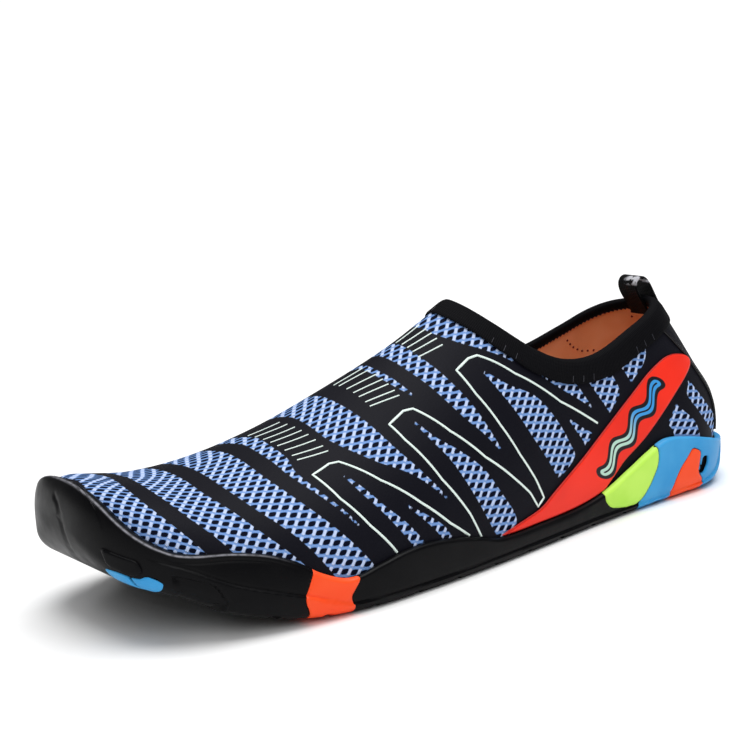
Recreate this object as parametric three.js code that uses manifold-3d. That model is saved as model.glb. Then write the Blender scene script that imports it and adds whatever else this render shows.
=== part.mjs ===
// Slip-on water shoe for the left foot, standing empty on its sole.
// Millimetres, +X towards the toe, +Y to the outer (lateral) side, +Z up.
import * as THREE from 'three';
import { mergeVertices } from 'three/addons/utils/BufferGeometryUtils.js';
import Module from 'manifold-3d';

const wasm = await Module();
wasm.setup();

// Foot form that the upper is stretched over
const FORM_LENGTH = 265;
const BALL_WIDTH = 97;
const INSTEP_HEIGHT = 82;
const HEEL_LEAN = 24;
const LEAN_REACH = 90;
const HEEL_CAP = 32;
const TOE_CAP = 53;
const NOSE_CAP = 12;
const HEEL_SQUARENESS = 2.1;
const TOE_SQUARENESS = 2.8;
const NOSE_SQUARENESS = 2.5;

// Collar opening, heights above the floor
const COLLAR_HEEL = 71.5;
const COLLAR_LOW = 54.5;
const COLLAR_THROAT = 84;

// Sole
const SOLE_THICKNESS = 8;
const TOE_SPRING = 22;
const HEEL_ROLL = 7;
const ROLL_LENGTH = 19.2;
const RAND_THICKNESS = 2.4;
const RAND_HEIGHT = 17;
const RAND_TOE_RISE = 20;
const STEP_OUT = 0.8;
const STEP_HEIGHT = 8;
const GROOVE_WIDTH = 2.4;
const GROOVE_DEPTH = 1.6;
const GROOVE_PITCH = 17;
const GROOVE_FIRST = 18;
const RECESS_DEPTH = 0.7;
const TOE_PART_REACH = 13.5;
const SOLE_EDGE_BULGE = 0.75;
const BLOCK_DEPTH = 2;
const BLOCK_EDGE = 2.2;

// Cloth, foam and trim
const PIECE_GAP = 0.3;
const UPPER_WALL = 1.8;
const INSOLE_THICKNESS = 3;
const BINDING_DEPTH = 8;
const BINDING_THICKNESS = 1;
const PANEL_THICKNESS = 0.8;
const TAPE_THICKNESS = 0.8;
const TAPE_WIDTH = 11;
const LOOP_WIDTH = 10;
const LOOP_RISE = 11;
const LOOP_THICKNESS = 1.2;
const LOOP_TAIL = 6.5;

// How finely the skins are divided
const HEEL_STATIONS = 6;
const BODY_STATIONS = 13;
const TOE_STATIONS = 9;
const ARCH_STEPS = 12;
const EDGE_STEPS = 3;
const LINE_STEP = 6.5;
const OPEN_DROP = 5;
const CUTTER_REACH = 40;
const MERGE_WITHIN = 0.0001;

// Sections from heel to toe. at: share of the form's length. half, centre and
// ridge: half width and sideways places, shares of the ball width. sole: share
// of the sole's thickness. spring: share of the toe spring. top: share of the
// instep height. side and crown: bulge of the arch. tuck: share of the half
// width where the tread's flat begins.
const SECTIONS = [
  { at: 0.00, half: 0.335, centre: 0.000, ridge: 0.000, sole: 1.30, spring: 0.00,
    top: 1.20, side: 2.00, crown: 1.00, tuck: 0.72 },
  { at: 0.08, half: 0.335, centre: 0.000, ridge: 0.000, sole: 1.08, spring: 0.00,
    top: 1.20, side: 1.95, crown: 1.00, tuck: 0.74 },
  { at: 0.18, half: 0.340, centre: 0.005, ridge: 0.000, sole: 1.00, spring: 0.00,
    top: 1.20, side: 1.90, crown: 1.00, tuck: 0.78 },
  { at: 0.30, half: 0.350, centre: 0.020, ridge: 0.000, sole: 1.02, spring: 0.00,
    top: 1.15, side: 1.75, crown: 1.00, tuck: 0.88 },
  { at: 0.42, half: 0.380, centre: 0.045, ridge: 0.005, sole: 1.02, spring: 0.00,
    top: 1.03, side: 1.45, crown: 1.00, tuck: 0.90 },
  { at: 0.52, half: 0.420, centre: 0.050, ridge: 0.000, sole: 0.95, spring: 0.00,
    top: 0.87, side: 1.20, crown: 1.00, tuck: 0.90 },
  { at: 0.62, half: 0.465, centre: 0.035, ridge: -0.015, sole: 0.90, spring: 0.00,
    top: 0.735, side: 1.08, crown: 0.97, tuck: 0.90 },
  { at: 0.71, half: 0.500, centre: 0.010, ridge: -0.030, sole: 0.90, spring: 0.00,
    top: 0.620, side: 0.95, crown: 0.92, tuck: 0.88 },
  { at: 0.80, half: 0.495, centre: -0.010, ridge: -0.045, sole: 0.82, spring: 0.09,
    top: 0.555, side: 0.88, crown: 0.88, tuck: 0.86 },
  { at: 0.88, half: 0.475, centre: -0.035, ridge: -0.055, sole: 0.74, spring: 0.36,
    top: 0.540, side: 0.82, crown: 0.84, tuck: 0.80 },
  { at: 0.94, half: 0.465, centre: -0.055, ridge: -0.065, sole: 0.68, spring: 0.74,
    top: 0.570, side: 0.80, crown: 0.78, tuck: 0.74 },
  { at: 1.00, half: 0.450, centre: -0.070, ridge: -0.070, sole: 0.55, spring: 1.05,
    top: 0.620, side: 0.80, crown: 0.76, tuck: 0.70 },
];

// Back line of the heel: height as a share of the instep height, and how far
// it leans forward as a share of the heel lean.
const HEEL_LINE = [
  { height: 0.00, forward: 0.24 },
  { height: 0.12, forward: 0.15 },
  { height: 0.28, forward: -0.05 },
  { height: 0.40, forward: -0.02 },
  { height: 0.55, forward: 0.30 },
  { height: 0.85, forward: 0.88 },
  { height: 1.25, forward: 1.75 },
];

// Collar edge seen from the side. at: share of the form's length. heel and
// throat: shares of the rise from the low point to the heel and to the throat.
const COLLAR_LINE = [
  { at: -0.10, heel: 1.00, throat: 0.00 },
  { at: 0.02, heel: 0.98, throat: 0.00 },
  { at: 0.09, heel: 0.74, throat: 0.00 },
  { at: 0.17, heel: 0.28, throat: 0.00 },
  { at: 0.25, heel: -0.05, throat: 0.00 },
  { at: 0.31, heel: -0.03, throat: 0.05 },
  { at: 0.36, heel: 0.00, throat: 0.30 },
  { at: 0.40, heel: 0.00, throat: 0.65 },
  { at: 0.435, heel: 0.00, throat: 1.00 },
  { at: 0.50, heel: 0.00, throat: 1.60 },
];

// Top edge of the rubber seen from the side: shares of the rand height and of
// its rise over the toe.
const RAND_LINE = [
  { at: -0.10, side: 1.15, toe: 0.00 },
  { at: 0.05, side: 1.16, toe: 0.00 },
  { at: 0.12, side: 1.30, toe: 0.00 },
  { at: 0.165, side: 1.32, toe: 0.00 },
  { at: 0.20, side: 1.18, toe: 0.00 },
  { at: 0.24, side: 0.96, toe: 0.00 },
  { at: 0.29, side: 0.72, toe: 0.00 },
  { at: 0.36, side: 0.62, toe: 0.00 },
  { at: 0.50, side: 0.60, toe: 0.00 },
  { at: 0.56, side: 0.80, toe: 0.00 },
  { at: 0.62, side: 0.96, toe: 0.00 },
  { at: 0.66, side: 1.00, toe: 0.00 },
  { at: 0.70, side: 0.94, toe: 0.00 },
  { at: 0.745, side: 0.80, toe: 0.00 },
  { at: 0.78, side: 0.97, toe: 0.00 },
  { at: 0.81, side: 1.28, toe: 0.00 },
  { at: 0.84, side: 1.48, toe: 0.00 },
  { at: 0.88, side: 1.63, toe: 0.00 },
  { at: 0.94, side: 1.76, toe: 0.00 },
  { at: 0.965, side: 1.80, toe: 0.18 },
  { at: 0.98, side: 1.80, toe: 0.42 },
  { at: 0.99, side: 1.80, toe: 0.72 },
  { at: 1.00, side: 1.80, toe: 1.20 },
  { at: 1.03, side: 1.80, toe: 3.00 },
];

// Outlines of the coloured parts seen from the side. at: share of the form's
// length. up: share of the heel collar's height.
const SIDE_PANEL = [
  { at: 0.125, up: 0.735 },
  { at: 0.085, up: 0.705 },
  { at: 0.072, up: 0.660 },
  { at: 0.109, up: 0.590 },
  { at: 0.165, up: 0.440 },
  { at: 0.222, up: 0.270 },
  { at: 0.292, up: 0.120 },
  { at: 0.500, up: 0.100 },
  { at: 0.500, up: 0.128 },
  { at: 0.418, up: 0.185 },
  { at: 0.396, up: 0.233 },
  { at: 0.322, up: 0.360 },
  { at: 0.243, up: 0.523 },
  { at: 0.170, up: 0.672 },
];
const BALL_BLOCK = [
  { at: 0.780, up: 0.360 },
  { at: 0.784, up: 0.245 },
  { at: 0.802, up: 0.120 },
  { at: 0.796, up: 0.060 },
  { at: 0.795, up: -0.050 },
  { at: 0.740, up: -0.050 },
  { at: 0.741, up: 0.045 },
  { at: 0.747, up: 0.085 },
  { at: 0.731, up: 0.155 },
  { at: 0.726, up: 0.360 },
];
const LIME_BLOCK = [
  { at: 0.300, up: -0.050 },
  { at: 0.298, up: 0.100 },
  { at: 0.290, up: 0.200 },
  { at: 0.240, up: 0.300 },
  { at: 0.192, up: 0.420 },
  { at: 0.186, up: 0.240 },
  { at: 0.198, up: 0.140 },
  { at: 0.218, up: 0.080 },
  { at: 0.232, up: 0.040 },
  { at: 0.238, up: -0.050 },
];
const BLUE_BLOCK = [
  { at: -0.100, up: -0.050 },
  { at: 0.238, up: -0.050 },
  { at: 0.232, up: 0.040 },
  { at: 0.218, up: 0.080 },
  { at: 0.198, up: 0.140 },
  { at: 0.186, up: 0.240 },
  { at: 0.192, up: 0.420 },
  { at: -0.100, up: 0.420 },
];
const HEEL_STRIPE = [
  { at: 0.120, up: 0.245 },
  { at: 0.104, up: 0.205 },
  { at: 0.114, up: 0.100 },
  { at: 0.106, up: 0.065 },
  { at: 0.104, up: -0.050 },
  { at: 0.168, up: -0.050 },
  { at: 0.164, up: 0.045 },
  { at: 0.153, up: 0.110 },
  { at: 0.138, up: 0.180 },
];
const SIDE_RECESS = [
  { at: 0.948, up: 0.330 },
  { at: 0.908, up: 0.270 },
  { at: 0.893, up: 0.175 },
  { at: 0.905, up: 0.000 },
  { at: 0.940, up: 0.100 },
  { at: 0.940, up: 0.240 },
];

// Parts of the toe seen from the front. across: share of the ball width from
// the form's middle line. up: share of the nose height.
const TOE_RIB = [
  { across: 0.250, up: 0.840 },
  { across: 0.375, up: 0.740 },
  { across: 0.385, up: 0.640 },
  { across: 0.356, up: 0.610 },
  { across: 0.272, up: 0.690 },
];
const TOE_BLOCK = [
  { across: 0.220, up: 0.660 },
  { across: 0.295, up: 0.650 },
  { across: 0.370, up: 0.590 },
  { across: 0.390, up: 0.620 },
  { across: 0.425, up: 0.560 },
  { across: 0.460, up: 0.300 },
  { across: 0.220, up: 0.300 },
];

const BLACK_RUBBER = { color: 0x141416, roughness: 0.38, metalness: 0 };
const BLACK_CLOTH = { color: 0x17171c, roughness: 0.85, metalness: 0 };
const BLUE_MESH = { color: 0x3c4a78, roughness: 0.8, metalness: 0 };
const TAN_FOAM = { color: 0xa0683f, roughness: 0.8, metalness: 0 };
const RED_PANEL = { color: 0xff3a24, roughness: 0.5, metalness: 0 };
const ORANGE_RUBBER = { color: 0xff5a2a, roughness: 0.5, metalness: 0 };
const LIME_RUBBER = { color: 0xbff25a, roughness: 0.5, metalness: 0 };
const BLUE_RUBBER = { color: 0x3a9ad4, roughness: 0.5, metalness: 0 };

/** Smooth value of one column of a table at a place along another column. */
function lookUp(table, key, place, by = 'at') {
  const last = table.length - 1;
  let i = 0;
  while (i < last - 1 && place > table[i + 1][by]) {
    i += 1;
  }
  const slopeAt = (k) => {
    const a = table[Math.max(k - 1, 0)];
    const b = table[Math.min(k + 1, last)];
    return (b[key] - a[key]) / (b[by] - a[by]);
  };
  const from = table[i];
  const to = table[i + 1];
  const span = to[by] - from[by];
  const t = THREE.MathUtils.clamp((place - from[by]) / span, 0, 1);
  const rise = to[key] - from[key];
  const bendIn = slopeAt(i) * span - rise;
  const bendOut = rise - slopeAt(i + 1) * span;
  return from[key] + rise * t + t * (1 - t) * ((1 - t) * bendIn + t * bendOut);
}

/** Quarter of a squared circle: 1 inside, falling to 0 as far reaches 1. */
function rounded(far, squareness) {
  const t = THREE.MathUtils.clamp(far, 0, 1);
  return Math.pow(1 - Math.pow(t, squareness), 1 / squareness);
}

/** How much of the width is left at a section, closing at heel and toe. */
function planShare(at) {
  const fromHeel = at * FORM_LENGTH;
  const fromToe = (1 - at) * FORM_LENGTH;
  const heel = rounded(1 - fromHeel / HEEL_CAP, HEEL_SQUARENESS);
  const toe = rounded(1 - fromToe / TOE_CAP, TOE_SQUARENESS);
  return heel * toe;
}

/** Places along the form, closer together where its ends are round. */
function stations() {
  const places = [];
  const heelEnd = HEEL_CAP / FORM_LENGTH;
  const toeStart = 1 - TOE_CAP / FORM_LENGTH;
  for (let i = 0; i < HEEL_STATIONS; i += 1) {
    places.push(heelEnd * (1 - Math.cos((i / HEEL_STATIONS) * Math.PI / 2)));
  }
  for (let i = 0; i < BODY_STATIONS; i += 1) {
    places.push(heelEnd + (toeStart - heelEnd) * (i / BODY_STATIONS));
  }
  for (let i = 0; i <= TOE_STATIONS; i += 1) {
    places.push(toeStart + (1 - toeStart) * Math.sin((i / TOE_STATIONS) * Math.PI / 2));
  }
  return places;
}

/** Height of the tread's underside, rolled up at the heel and sprung at the toe. */
function groundAt(at) {
  const roll = Math.pow(Math.max(1 - (at * FORM_LENGTH) / ROLL_LENGTH, 0), 2);
  return TOE_SPRING * lookUp(SECTIONS, 'spring', at) + HEEL_ROLL * roll;
}

/** Widths and heights of one section of the form, grown outwards all round. */
function sectionAt(at, grow) {
  const share = planShare(at);
  const half = (BALL_WIDTH * lookUp(SECTIONS, 'half', at) + grow) * share;
  const centre = BALL_WIDTH * lookUp(SECTIONS, 'centre', at);
  const ridgeShift = BALL_WIDTH * lookUp(SECTIONS, 'ridge', at) - centre;
  const tip = SECTIONS[SECTIONS.length - 1];
  const noseLow = TOE_SPRING + SOLE_THICKNESS * tip.sole;
  const nose = (noseLow + INSTEP_HEIGHT * tip.top) / 2;
  const open = rounded(1 - ((1 - at) * FORM_LENGTH) / NOSE_CAP, NOSE_SQUARENESS);
  const spring = TOE_SPRING * lookUp(SECTIONS, 'spring', at);
  const bed = spring + SOLE_THICKNESS * lookUp(SECTIONS, 'sole', at);
  const top = INSTEP_HEIGHT * lookUp(SECTIONS, 'top', at) + grow;
  return {
    half,
    centre,
    ridge: centre + ridgeShift * share,
    bed: nose + (bed - nose) * open,
    top: nose + (top - nose) * open,
    ground: nose + (groundAt(at) - nose) * open,
    side: lookUp(SECTIONS, 'side', at),
    crown: lookUp(SECTIONS, 'crown', at),
    tuck: lookUp(SECTIONS, 'tuck', at),
    x: -grow + (FORM_LENGTH + 2 * grow) * at,
    reach: Math.pow(Math.max(1 - (at * FORM_LENGTH) / LEAN_REACH, 0), 2),
  };
}

/** A point of a section, moved forward by the lean of the heel. */
function placed(section, y, z) {
  const share = THREE.MathUtils.clamp(z / INSTEP_HEIGHT, 0, 1.25);
  const lean = HEEL_LEAN * lookUp(HEEL_LINE, 'forward', share, 'height');
  return new THREE.Vector3(section.x + lean * section.reach, y, z);
}

/** A point of the arch: turn 0 at the feather edge, a quarter turn at the ridge. */
function archPoint(section, side, turn, bed) {
  const out = section.centre + side * section.half - section.ridge;
  const y = section.ridge + out * Math.pow(Math.cos(turn), section.side);
  const z = bed + (section.top - bed) * Math.pow(Math.sin(turn), section.crown);
  return placed(section, y, z);
}

/** A closed solid from a geometry whose shared corners are merged. */
function solidOf(geometry) {
  geometry.deleteAttribute('normal');
  geometry.deleteAttribute('uv');
  const merged = mergeVertices(geometry, MERGE_WITHIN);
  const index = merged.index.array;
  const kept = [];
  for (let i = 0; i < index.length; i += 3) {
    const [a, b, c] = [index[i], index[i + 1], index[i + 2]];
    if (a !== b && b !== c && c !== a) {
      kept.push(a, b, c);
    }
  }
  const mesh = new wasm.Mesh({
    numProp: 3,
    vertProperties: new Float32Array(merged.attributes.position.array),
    triVerts: new Uint32Array(kept),
  });
  return new wasm.Manifold(mesh);
}

/** Skin over rings of points, each ring closed on itself. */
function skin(rings) {
  const count = rings[0].length;
  const geometry = new THREE.BufferGeometry().setFromPoints(rings.flat());
  const index = [];
  for (let i = 0; i < rings.length - 1; i += 1) {
    for (let j = 0; j < count; j += 1) {
      const a = i * count + j;
      const b = i * count + ((j + 1) % count);
      const c = a + count;
      const d = b + count;
      index.push(a, c, b, b, c, d);
    }
  }
  geometry.setIndex(index);
  return solidOf(geometry);
}

/** The foot form, grown outwards, with its underside dropped below the bed. */
function footForm(grow, drop) {
  const rings = stations().map((at) => {
    const section = sectionAt(at, grow);
    const ring = [];
    for (let k = ARCH_STEPS; k >= 0; k -= 1) {
      ring.push(archPoint(section, 1, (k / ARCH_STEPS) * Math.PI / 2, section.bed));
    }
    const left = section.centre + section.half;
    const right = section.centre - section.half;
    ring.push(placed(section, left, section.bed - drop));
    ring.push(placed(section, right, section.bed - drop));
    for (let k = 0; k < ARCH_STEPS; k += 1) {
      ring.push(archPoint(section, -1, (k / ARCH_STEPS) * Math.PI / 2, section.bed));
    }
    return ring;
  });
  return skin(rings);
}

/** The outside of the rubber, rounded under to a tread dropped below the ground. */
function soleForm(grow, drop) {
  const rings = stations().map((at) => {
    const section = sectionAt(at, grow);
    const lower = (side) => {
      const points = [];
      const flat = section.half * section.tuck;
      for (let k = 1; k <= EDGE_STEPS; k += 1) {
        const turn = (k / EDGE_STEPS) * Math.PI / 2;
        const out = flat + (section.half - flat) * Math.pow(Math.cos(turn), SOLE_EDGE_BULGE);
        const deep = section.bed - section.ground + drop;
        const down = deep * Math.pow(Math.sin(turn), SOLE_EDGE_BULGE);
        points.push(placed(section, section.centre + side * out, section.bed - down));
      }
      return points;
    };
    const ring = [];
    for (let k = ARCH_STEPS; k >= 0; k -= 1) {
      ring.push(archPoint(section, 1, (k / ARCH_STEPS) * Math.PI / 2, section.bed));
    }
    ring.push(...lower(1), ...lower(-1).reverse());
    for (let k = 0; k < ARCH_STEPS; k += 1) {
      ring.push(archPoint(section, -1, (k / ARCH_STEPS) * Math.PI / 2, section.bed));
    }
    return ring;
  });
  return skin(rings);
}

/** A side-view outline, [x, z] pairs, run across the shoe between two widths. */
function across(outline, from = -BALL_WIDTH, to = BALL_WIDTH) {
  const shape = new THREE.Shape(outline.map(([x, z]) => new THREE.Vector2(x, z)));
  const geometry = new THREE.ExtrudeGeometry(shape, { depth: to - from, bevelEnabled: false });
  geometry.rotateX(Math.PI / 2);
  geometry.translate(0, to, 0);
  return solidOf(geometry);
}

/** The outline of everything above a side-view line. */
function above(line) {
  const top = INSTEP_HEIGHT * 2;
  const first = line[0];
  const last = line[line.length - 1];
  return [...line, [last[0] + CUTTER_REACH, top], [first[0] - CUTTER_REACH, top],
    [first[0] - CUTTER_REACH, first[1]]];
}

/** The outline of everything below a side-view line. */
function below(line) {
  const first = line[0];
  const last = line[line.length - 1];
  return [[first[0] - CUTTER_REACH, -CUTTER_REACH], [last[0] + CUTTER_REACH, -CUTTER_REACH],
    [last[0] + CUTTER_REACH, last[1]], ...[...line].reverse(),
    [first[0] - CUTTER_REACH, first[1]]];
}

/** Points along a table's side-view line, moved off it along its normal. */
function sideLine(table, height, offset) {
  const start = table[0].at;
  const end = table[table.length - 1].at;
  const steps = Math.round(((end - start) * FORM_LENGTH) / LINE_STEP);
  const at = (i) => start + (end - start) * (i / steps);
  const line = [];
  for (let i = 0; i <= steps; i += 1) {
    const x = at(i) * FORM_LENGTH;
    const ahead = at(Math.min(i + 1, steps));
    const behind = at(Math.max(i - 1, 0));
    const along = new THREE.Vector2(
      (ahead - behind) * FORM_LENGTH,
      height(ahead) - height(behind),
    ).normalize();
    line.push([x - along.y * offset, height(at(i)) + along.x * offset]);
  }
  return line;
}

/** The collar's edge, moved up by an offset. */
function collarLine(offset) {
  const height = (at) => COLLAR_LOW
    + (COLLAR_HEEL - COLLAR_LOW) * lookUp(COLLAR_LINE, 'heel', at)
    + (COLLAR_THROAT - COLLAR_LOW) * lookUp(COLLAR_LINE, 'throat', at);
  return sideLine(COLLAR_LINE, height, offset);
}

/** The rubber's top edge, moved up by an offset. */
function randLine(offset) {
  const height = (at) => RAND_HEIGHT * lookUp(RAND_LINE, 'side', at)
    + RAND_TOE_RISE * lookUp(RAND_LINE, 'toe', at);
  return sideLine(RAND_LINE, height, offset);
}

/** A line at one height above the tread or the bed, from heel to toe. */
function levelLine(height) {
  const line = stations().map((at) => [at * FORM_LENGTH, height(at)]);
  return [[-CUTTER_REACH, line[0][1]], ...line, [FORM_LENGTH + CUTTER_REACH, line.at(-1)[1]]];
}

/** The part of the shoe between two widths. */
function strip(from, to) {
  const reach = FORM_LENGTH * 2;
  const outline = [[-reach, -reach], [reach, -reach], [reach, reach], [-reach, reach]];
  return across(outline, from, to);
}

/** A side-view outline table in millimetres. */
function outlineOf(table) {
  return table.map(({ at, up }) => [at * FORM_LENGTH, up * COLLAR_HEEL]);
}

/** A closed outline moved inwards, or outwards where the distance is negative. */
function inset(outline, distance) {
  const turn = Math.sign(THREE.ShapeUtils.area(outline.map(([x, y]) => ({ x, y }))));
  const count = outline.length;
  const normal = (i) => {
    const [a, b] = [outline[i], outline[(i + 1) % count]];
    return new THREE.Vector2(a[1] - b[1], b[0] - a[0]).normalize().multiplyScalar(turn);
  };
  return outline.map(([x, y], i) => {
    const before = normal((i + count - 1) % count);
    const after = normal(i);
    const reach = distance / (1 + before.dot(after));
    return [x + (before.x + after.x) * reach, y + (before.y + after.y) * reach];
  });
}

/** An outline seen from the front, [y, z] pairs, run along the toe. */
function towardsToe(outline) {
  const shape = new THREE.Shape(outline.map(([y, z]) => new THREE.Vector2(y, z)));
  const depth = TOE_PART_REACH + CUTTER_REACH;
  const geometry = new THREE.ExtrudeGeometry(shape, { depth, bevelEnabled: false });
  geometry.rotateX(Math.PI / 2);
  geometry.rotateZ(Math.PI / 2);
  geometry.translate(FORM_LENGTH - TOE_PART_REACH, 0, 0);
  return solidOf(geometry);
}

/** A front-view outline table in millimetres, on one side of the toe. */
function toeOutline(table, side) {
  const tip = sectionAt(1, 0);
  return table.map(({ across: out, up }) => [
    tip.centre + side * out * BALL_WIDTH,
    up * tip.bed,
  ]);
}

const formFace = footForm(0, 0);
const clearOfForm = footForm(PIECE_GAP, PIECE_GAP);
const liningFace = footForm(-UPPER_WALL, OPEN_DROP);
const aboveCollar = across(above(collarLine(0)));
const belowRand = across(below(randLine(0)));
const aboveRand = across(above(randLine(PIECE_GAP)));
const outerSide = strip(0, BALL_WIDTH);
const innerSide = strip(-BALL_WIDTH, 0);

// Upper: one hollow wall, open at the collar and underneath
const upper = formFace.subtract(liningFace).subtract(aboveCollar);

// Outsole: a cup with a raised rand and toe bumper, and a stepped side
const stepLine = levelLine((at) => groundAt(at) + STEP_HEIGHT);
const raisedFace = soleForm(RAND_THICKNESS + STEP_OUT, 0);
const lip = raisedFace.intersect(across(below(stepLine)));
const recess = across(outlineOf(SIDE_RECESS))
  .subtract(soleForm(RAND_THICKNESS - RECESS_DEPTH, BLOCK_EDGE));
let cup = soleForm(RAND_THICKNESS, 0).add(lip).subtract(recess);
for (const side of [1, -1]) {
  cup = cup.add(raisedFace.intersect(towardsToe(toeOutline(TOE_RIB, side))));
}
cup = cup.intersect(belowRand).subtract(clearOfForm);
cup = cup.intersect(across(above(levelLine(() => 0))));

// Grooves across the tread
const grooveCount = Math.floor((FORM_LENGTH - 2 * GROOVE_FIRST) / GROOVE_PITCH);
for (let i = 0; i <= grooveCount; i += 1) {
  const x = GROOVE_FIRST + i * GROOVE_PITCH;
  const floor = sectionAt(x / FORM_LENGTH, 0).ground;
  const reach = GROOVE_WIDTH / 2;
  cup = cup.subtract(across([
    [x - reach, floor - CUTTER_REACH],
    [x + reach, floor - CUTTER_REACH],
    [x + reach, floor + GROOVE_DEPTH],
    [x - reach, floor + GROOVE_DEPTH],
  ]));
}

// Coloured blocks set into the rubber's side
const blockFace = soleForm(RAND_THICKNESS - BLOCK_DEPTH, BLOCK_EDGE);
const pocketFace = soleForm(RAND_THICKNESS - BLOCK_DEPTH - PIECE_GAP, BLOCK_EDGE - PIECE_GAP);
const rubberLayer = cup.subtract(blockFace);
let outsole = cup;

/** Cuts a pocket from the outsole and returns the block that fills it. */
function blockFrom(cutterOf, outline, region) {
  const pocket = cutterOf(inset(outline, -PIECE_GAP / 2)).intersect(region)
    .subtract(pocketFace);
  outsole = outsole.subtract(pocket);
  return rubberLayer.intersect(cutterOf(inset(outline, PIECE_GAP / 2))).intersect(region);
}

const everywhere = strip(-BALL_WIDTH, BALL_WIDTH);
const stripePocket = across(inset(outlineOf(HEEL_STRIPE), -PIECE_GAP / 2));
const blocks = [
  ['heel_block_blue', BLUE_RUBBER,
    blockFrom(across, outlineOf(BLUE_BLOCK), everywhere).subtract(stripePocket)],
];
for (const [suffix, region, side] of [['outer', outerSide, 1], ['inner', innerSide, -1]]) {
  blocks.push(
    [`heel_block_lime_${suffix}`, LIME_RUBBER,
      blockFrom(across, outlineOf(LIME_BLOCK), region)],
    [`heel_stripe_${suffix}`, ORANGE_RUBBER,
      blockFrom(across, outlineOf(HEEL_STRIPE), region)],
    [`ball_block_${suffix}`, ORANGE_RUBBER,
      blockFrom(across, outlineOf(BALL_BLOCK), region)],
    [`toe_block_${suffix}`, BLUE_RUBBER,
      blockFrom(towardsToe, toeOutline(TOE_BLOCK, side), everywhere)],
  );
}

// Insole: foam laid on the bed, inside the upper
const insoleSide = footForm(-UPPER_WALL - PIECE_GAP, 0);
const insoleTop = levelLine((at) => sectionAt(at, 0).bed + INSOLE_THICKNESS);
const insole = insoleSide.intersect(across(below(insoleTop)));

// Collar binding: a folded band over the edge of the upper
const bandReach = PIECE_GAP + BINDING_THICKNESS;
const bandOut = footForm(bandReach, 0);
const bandIn = footForm(-UPPER_WALL - bandReach, OPEN_DROP);
const bandSpan = across(above(collarLine(-BINDING_DEPTH)))
  .subtract(across(above(collarLine(bandReach))));
const trimFace = footForm(PIECE_GAP, 0);
const fold = trimFace.subtract(footForm(-UPPER_WALL - PIECE_GAP, OPEN_DROP))
  .subtract(across(above(collarLine(PIECE_GAP))));
const binding = bandOut.subtract(bandIn).intersect(bandSpan).subtract(fold);

// Pull loop: a doubled tape that stands over the binding at the heel
const loopHalf = strip(-LOOP_WIDTH / 2, LOOP_WIDTH / 2);
const backOfShoe = across([
  [-CUTTER_REACH, -CUTTER_REACH],
  [LEAN_REACH / 2, -CUTTER_REACH],
  [LEAN_REACH / 2, INSTEP_HEIGHT * 2],
  [-CUTTER_REACH, INSTEP_HEIGHT * 2],
]);
const loopIn = bandReach + PIECE_GAP;
const loopOut = loopIn + LOOP_THICKNESS;
const loopBase = across(above(collarLine(bandReach - LOOP_TAIL)));
const loopSkin = footForm(loopOut, 0)
  .subtract(footForm(-UPPER_WALL - loopOut, OPEN_DROP))
  .subtract(across(above(collarLine(bandReach + LOOP_RISE))));
const loopHole = footForm(loopIn, 0)
  .subtract(footForm(-UPPER_WALL - loopIn, OPEN_DROP))
  .subtract(across(above(collarLine(bandReach + LOOP_RISE - LOOP_THICKNESS))));
const loop = loopSkin.subtract(loopHole).intersect(loopHalf).intersect(backOfShoe)
  .intersect(loopBase);

// Heel tape: a flat strip over the back seam, from the rubber to the binding
const tape = footForm(PIECE_GAP + TAPE_THICKNESS, 0).subtract(trimFace)
  .intersect(strip(-TAPE_WIDTH / 2, TAPE_WIDTH / 2))
  .intersect(backOfShoe)
  .intersect(aboveRand)
  .subtract(across(above(collarLine(-BINDING_DEPTH - PIECE_GAP))));

// Side panels: a raised band on each side of the heel
const panelBand = footForm(PIECE_GAP + PANEL_THICKNESS, 0).subtract(trimFace)
  .intersect(across(outlineOf(SIDE_PANEL)))
  .intersect(aboveRand);

/** A node of the model from a finished solid. */
function piece(name, solid, look) {
  const mesh = solid.getMesh();
  const geometry = new THREE.BufferGeometry();
  geometry.setAttribute('position', new THREE.BufferAttribute(mesh.vertProperties, 3));
  geometry.setIndex(new THREE.BufferAttribute(mesh.triVerts, 1));
  geometry.computeVertexNormals();
  const node = new THREE.Mesh(geometry, new THREE.MeshStandardMaterial(look));
  node.name = name;
  return node;
}

const shoe = new THREE.Group();
shoe.add(
  piece('outsole', outsole, BLACK_RUBBER),
  piece('insole', insole, TAN_FOAM),
  piece('upper', upper, BLUE_MESH),
  piece('collar_binding', binding, BLACK_CLOTH),
  piece('pull_loop', loop, BLACK_CLOTH),
  piece('heel_tape', tape, BLACK_CLOTH),
  piece('side_panel_outer', panelBand.intersect(outerSide), RED_PANEL),
  piece('side_panel_inner', panelBand.intersect(innerSide), RED_PANEL),
);
for (const [name, look, solid] of blocks) {
  shoe.add(piece(name, solid, look));
}

// The origin lies under the middle of the shoe, on the floor
const box = new THREE.Box3().setFromObject(shoe);
const middle = box.getCenter(new THREE.Vector3());
const part = new THREE.Group();
shoe.position.set(-middle.x, -middle.y, -box.min.z);
part.add(shoe);

export default part;
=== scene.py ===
"""Slip-on water shoe for the left foot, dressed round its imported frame.

Sizes are in millimetres in the foot form's frame: x from the heel to the toe,
y to the outer side, z up. Every mesh is turned to metres in the part's frame.
"""
import logging
import math
from collections.abc import Callable, Sequence
from dataclasses import dataclass, field
from enum import Enum

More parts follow.
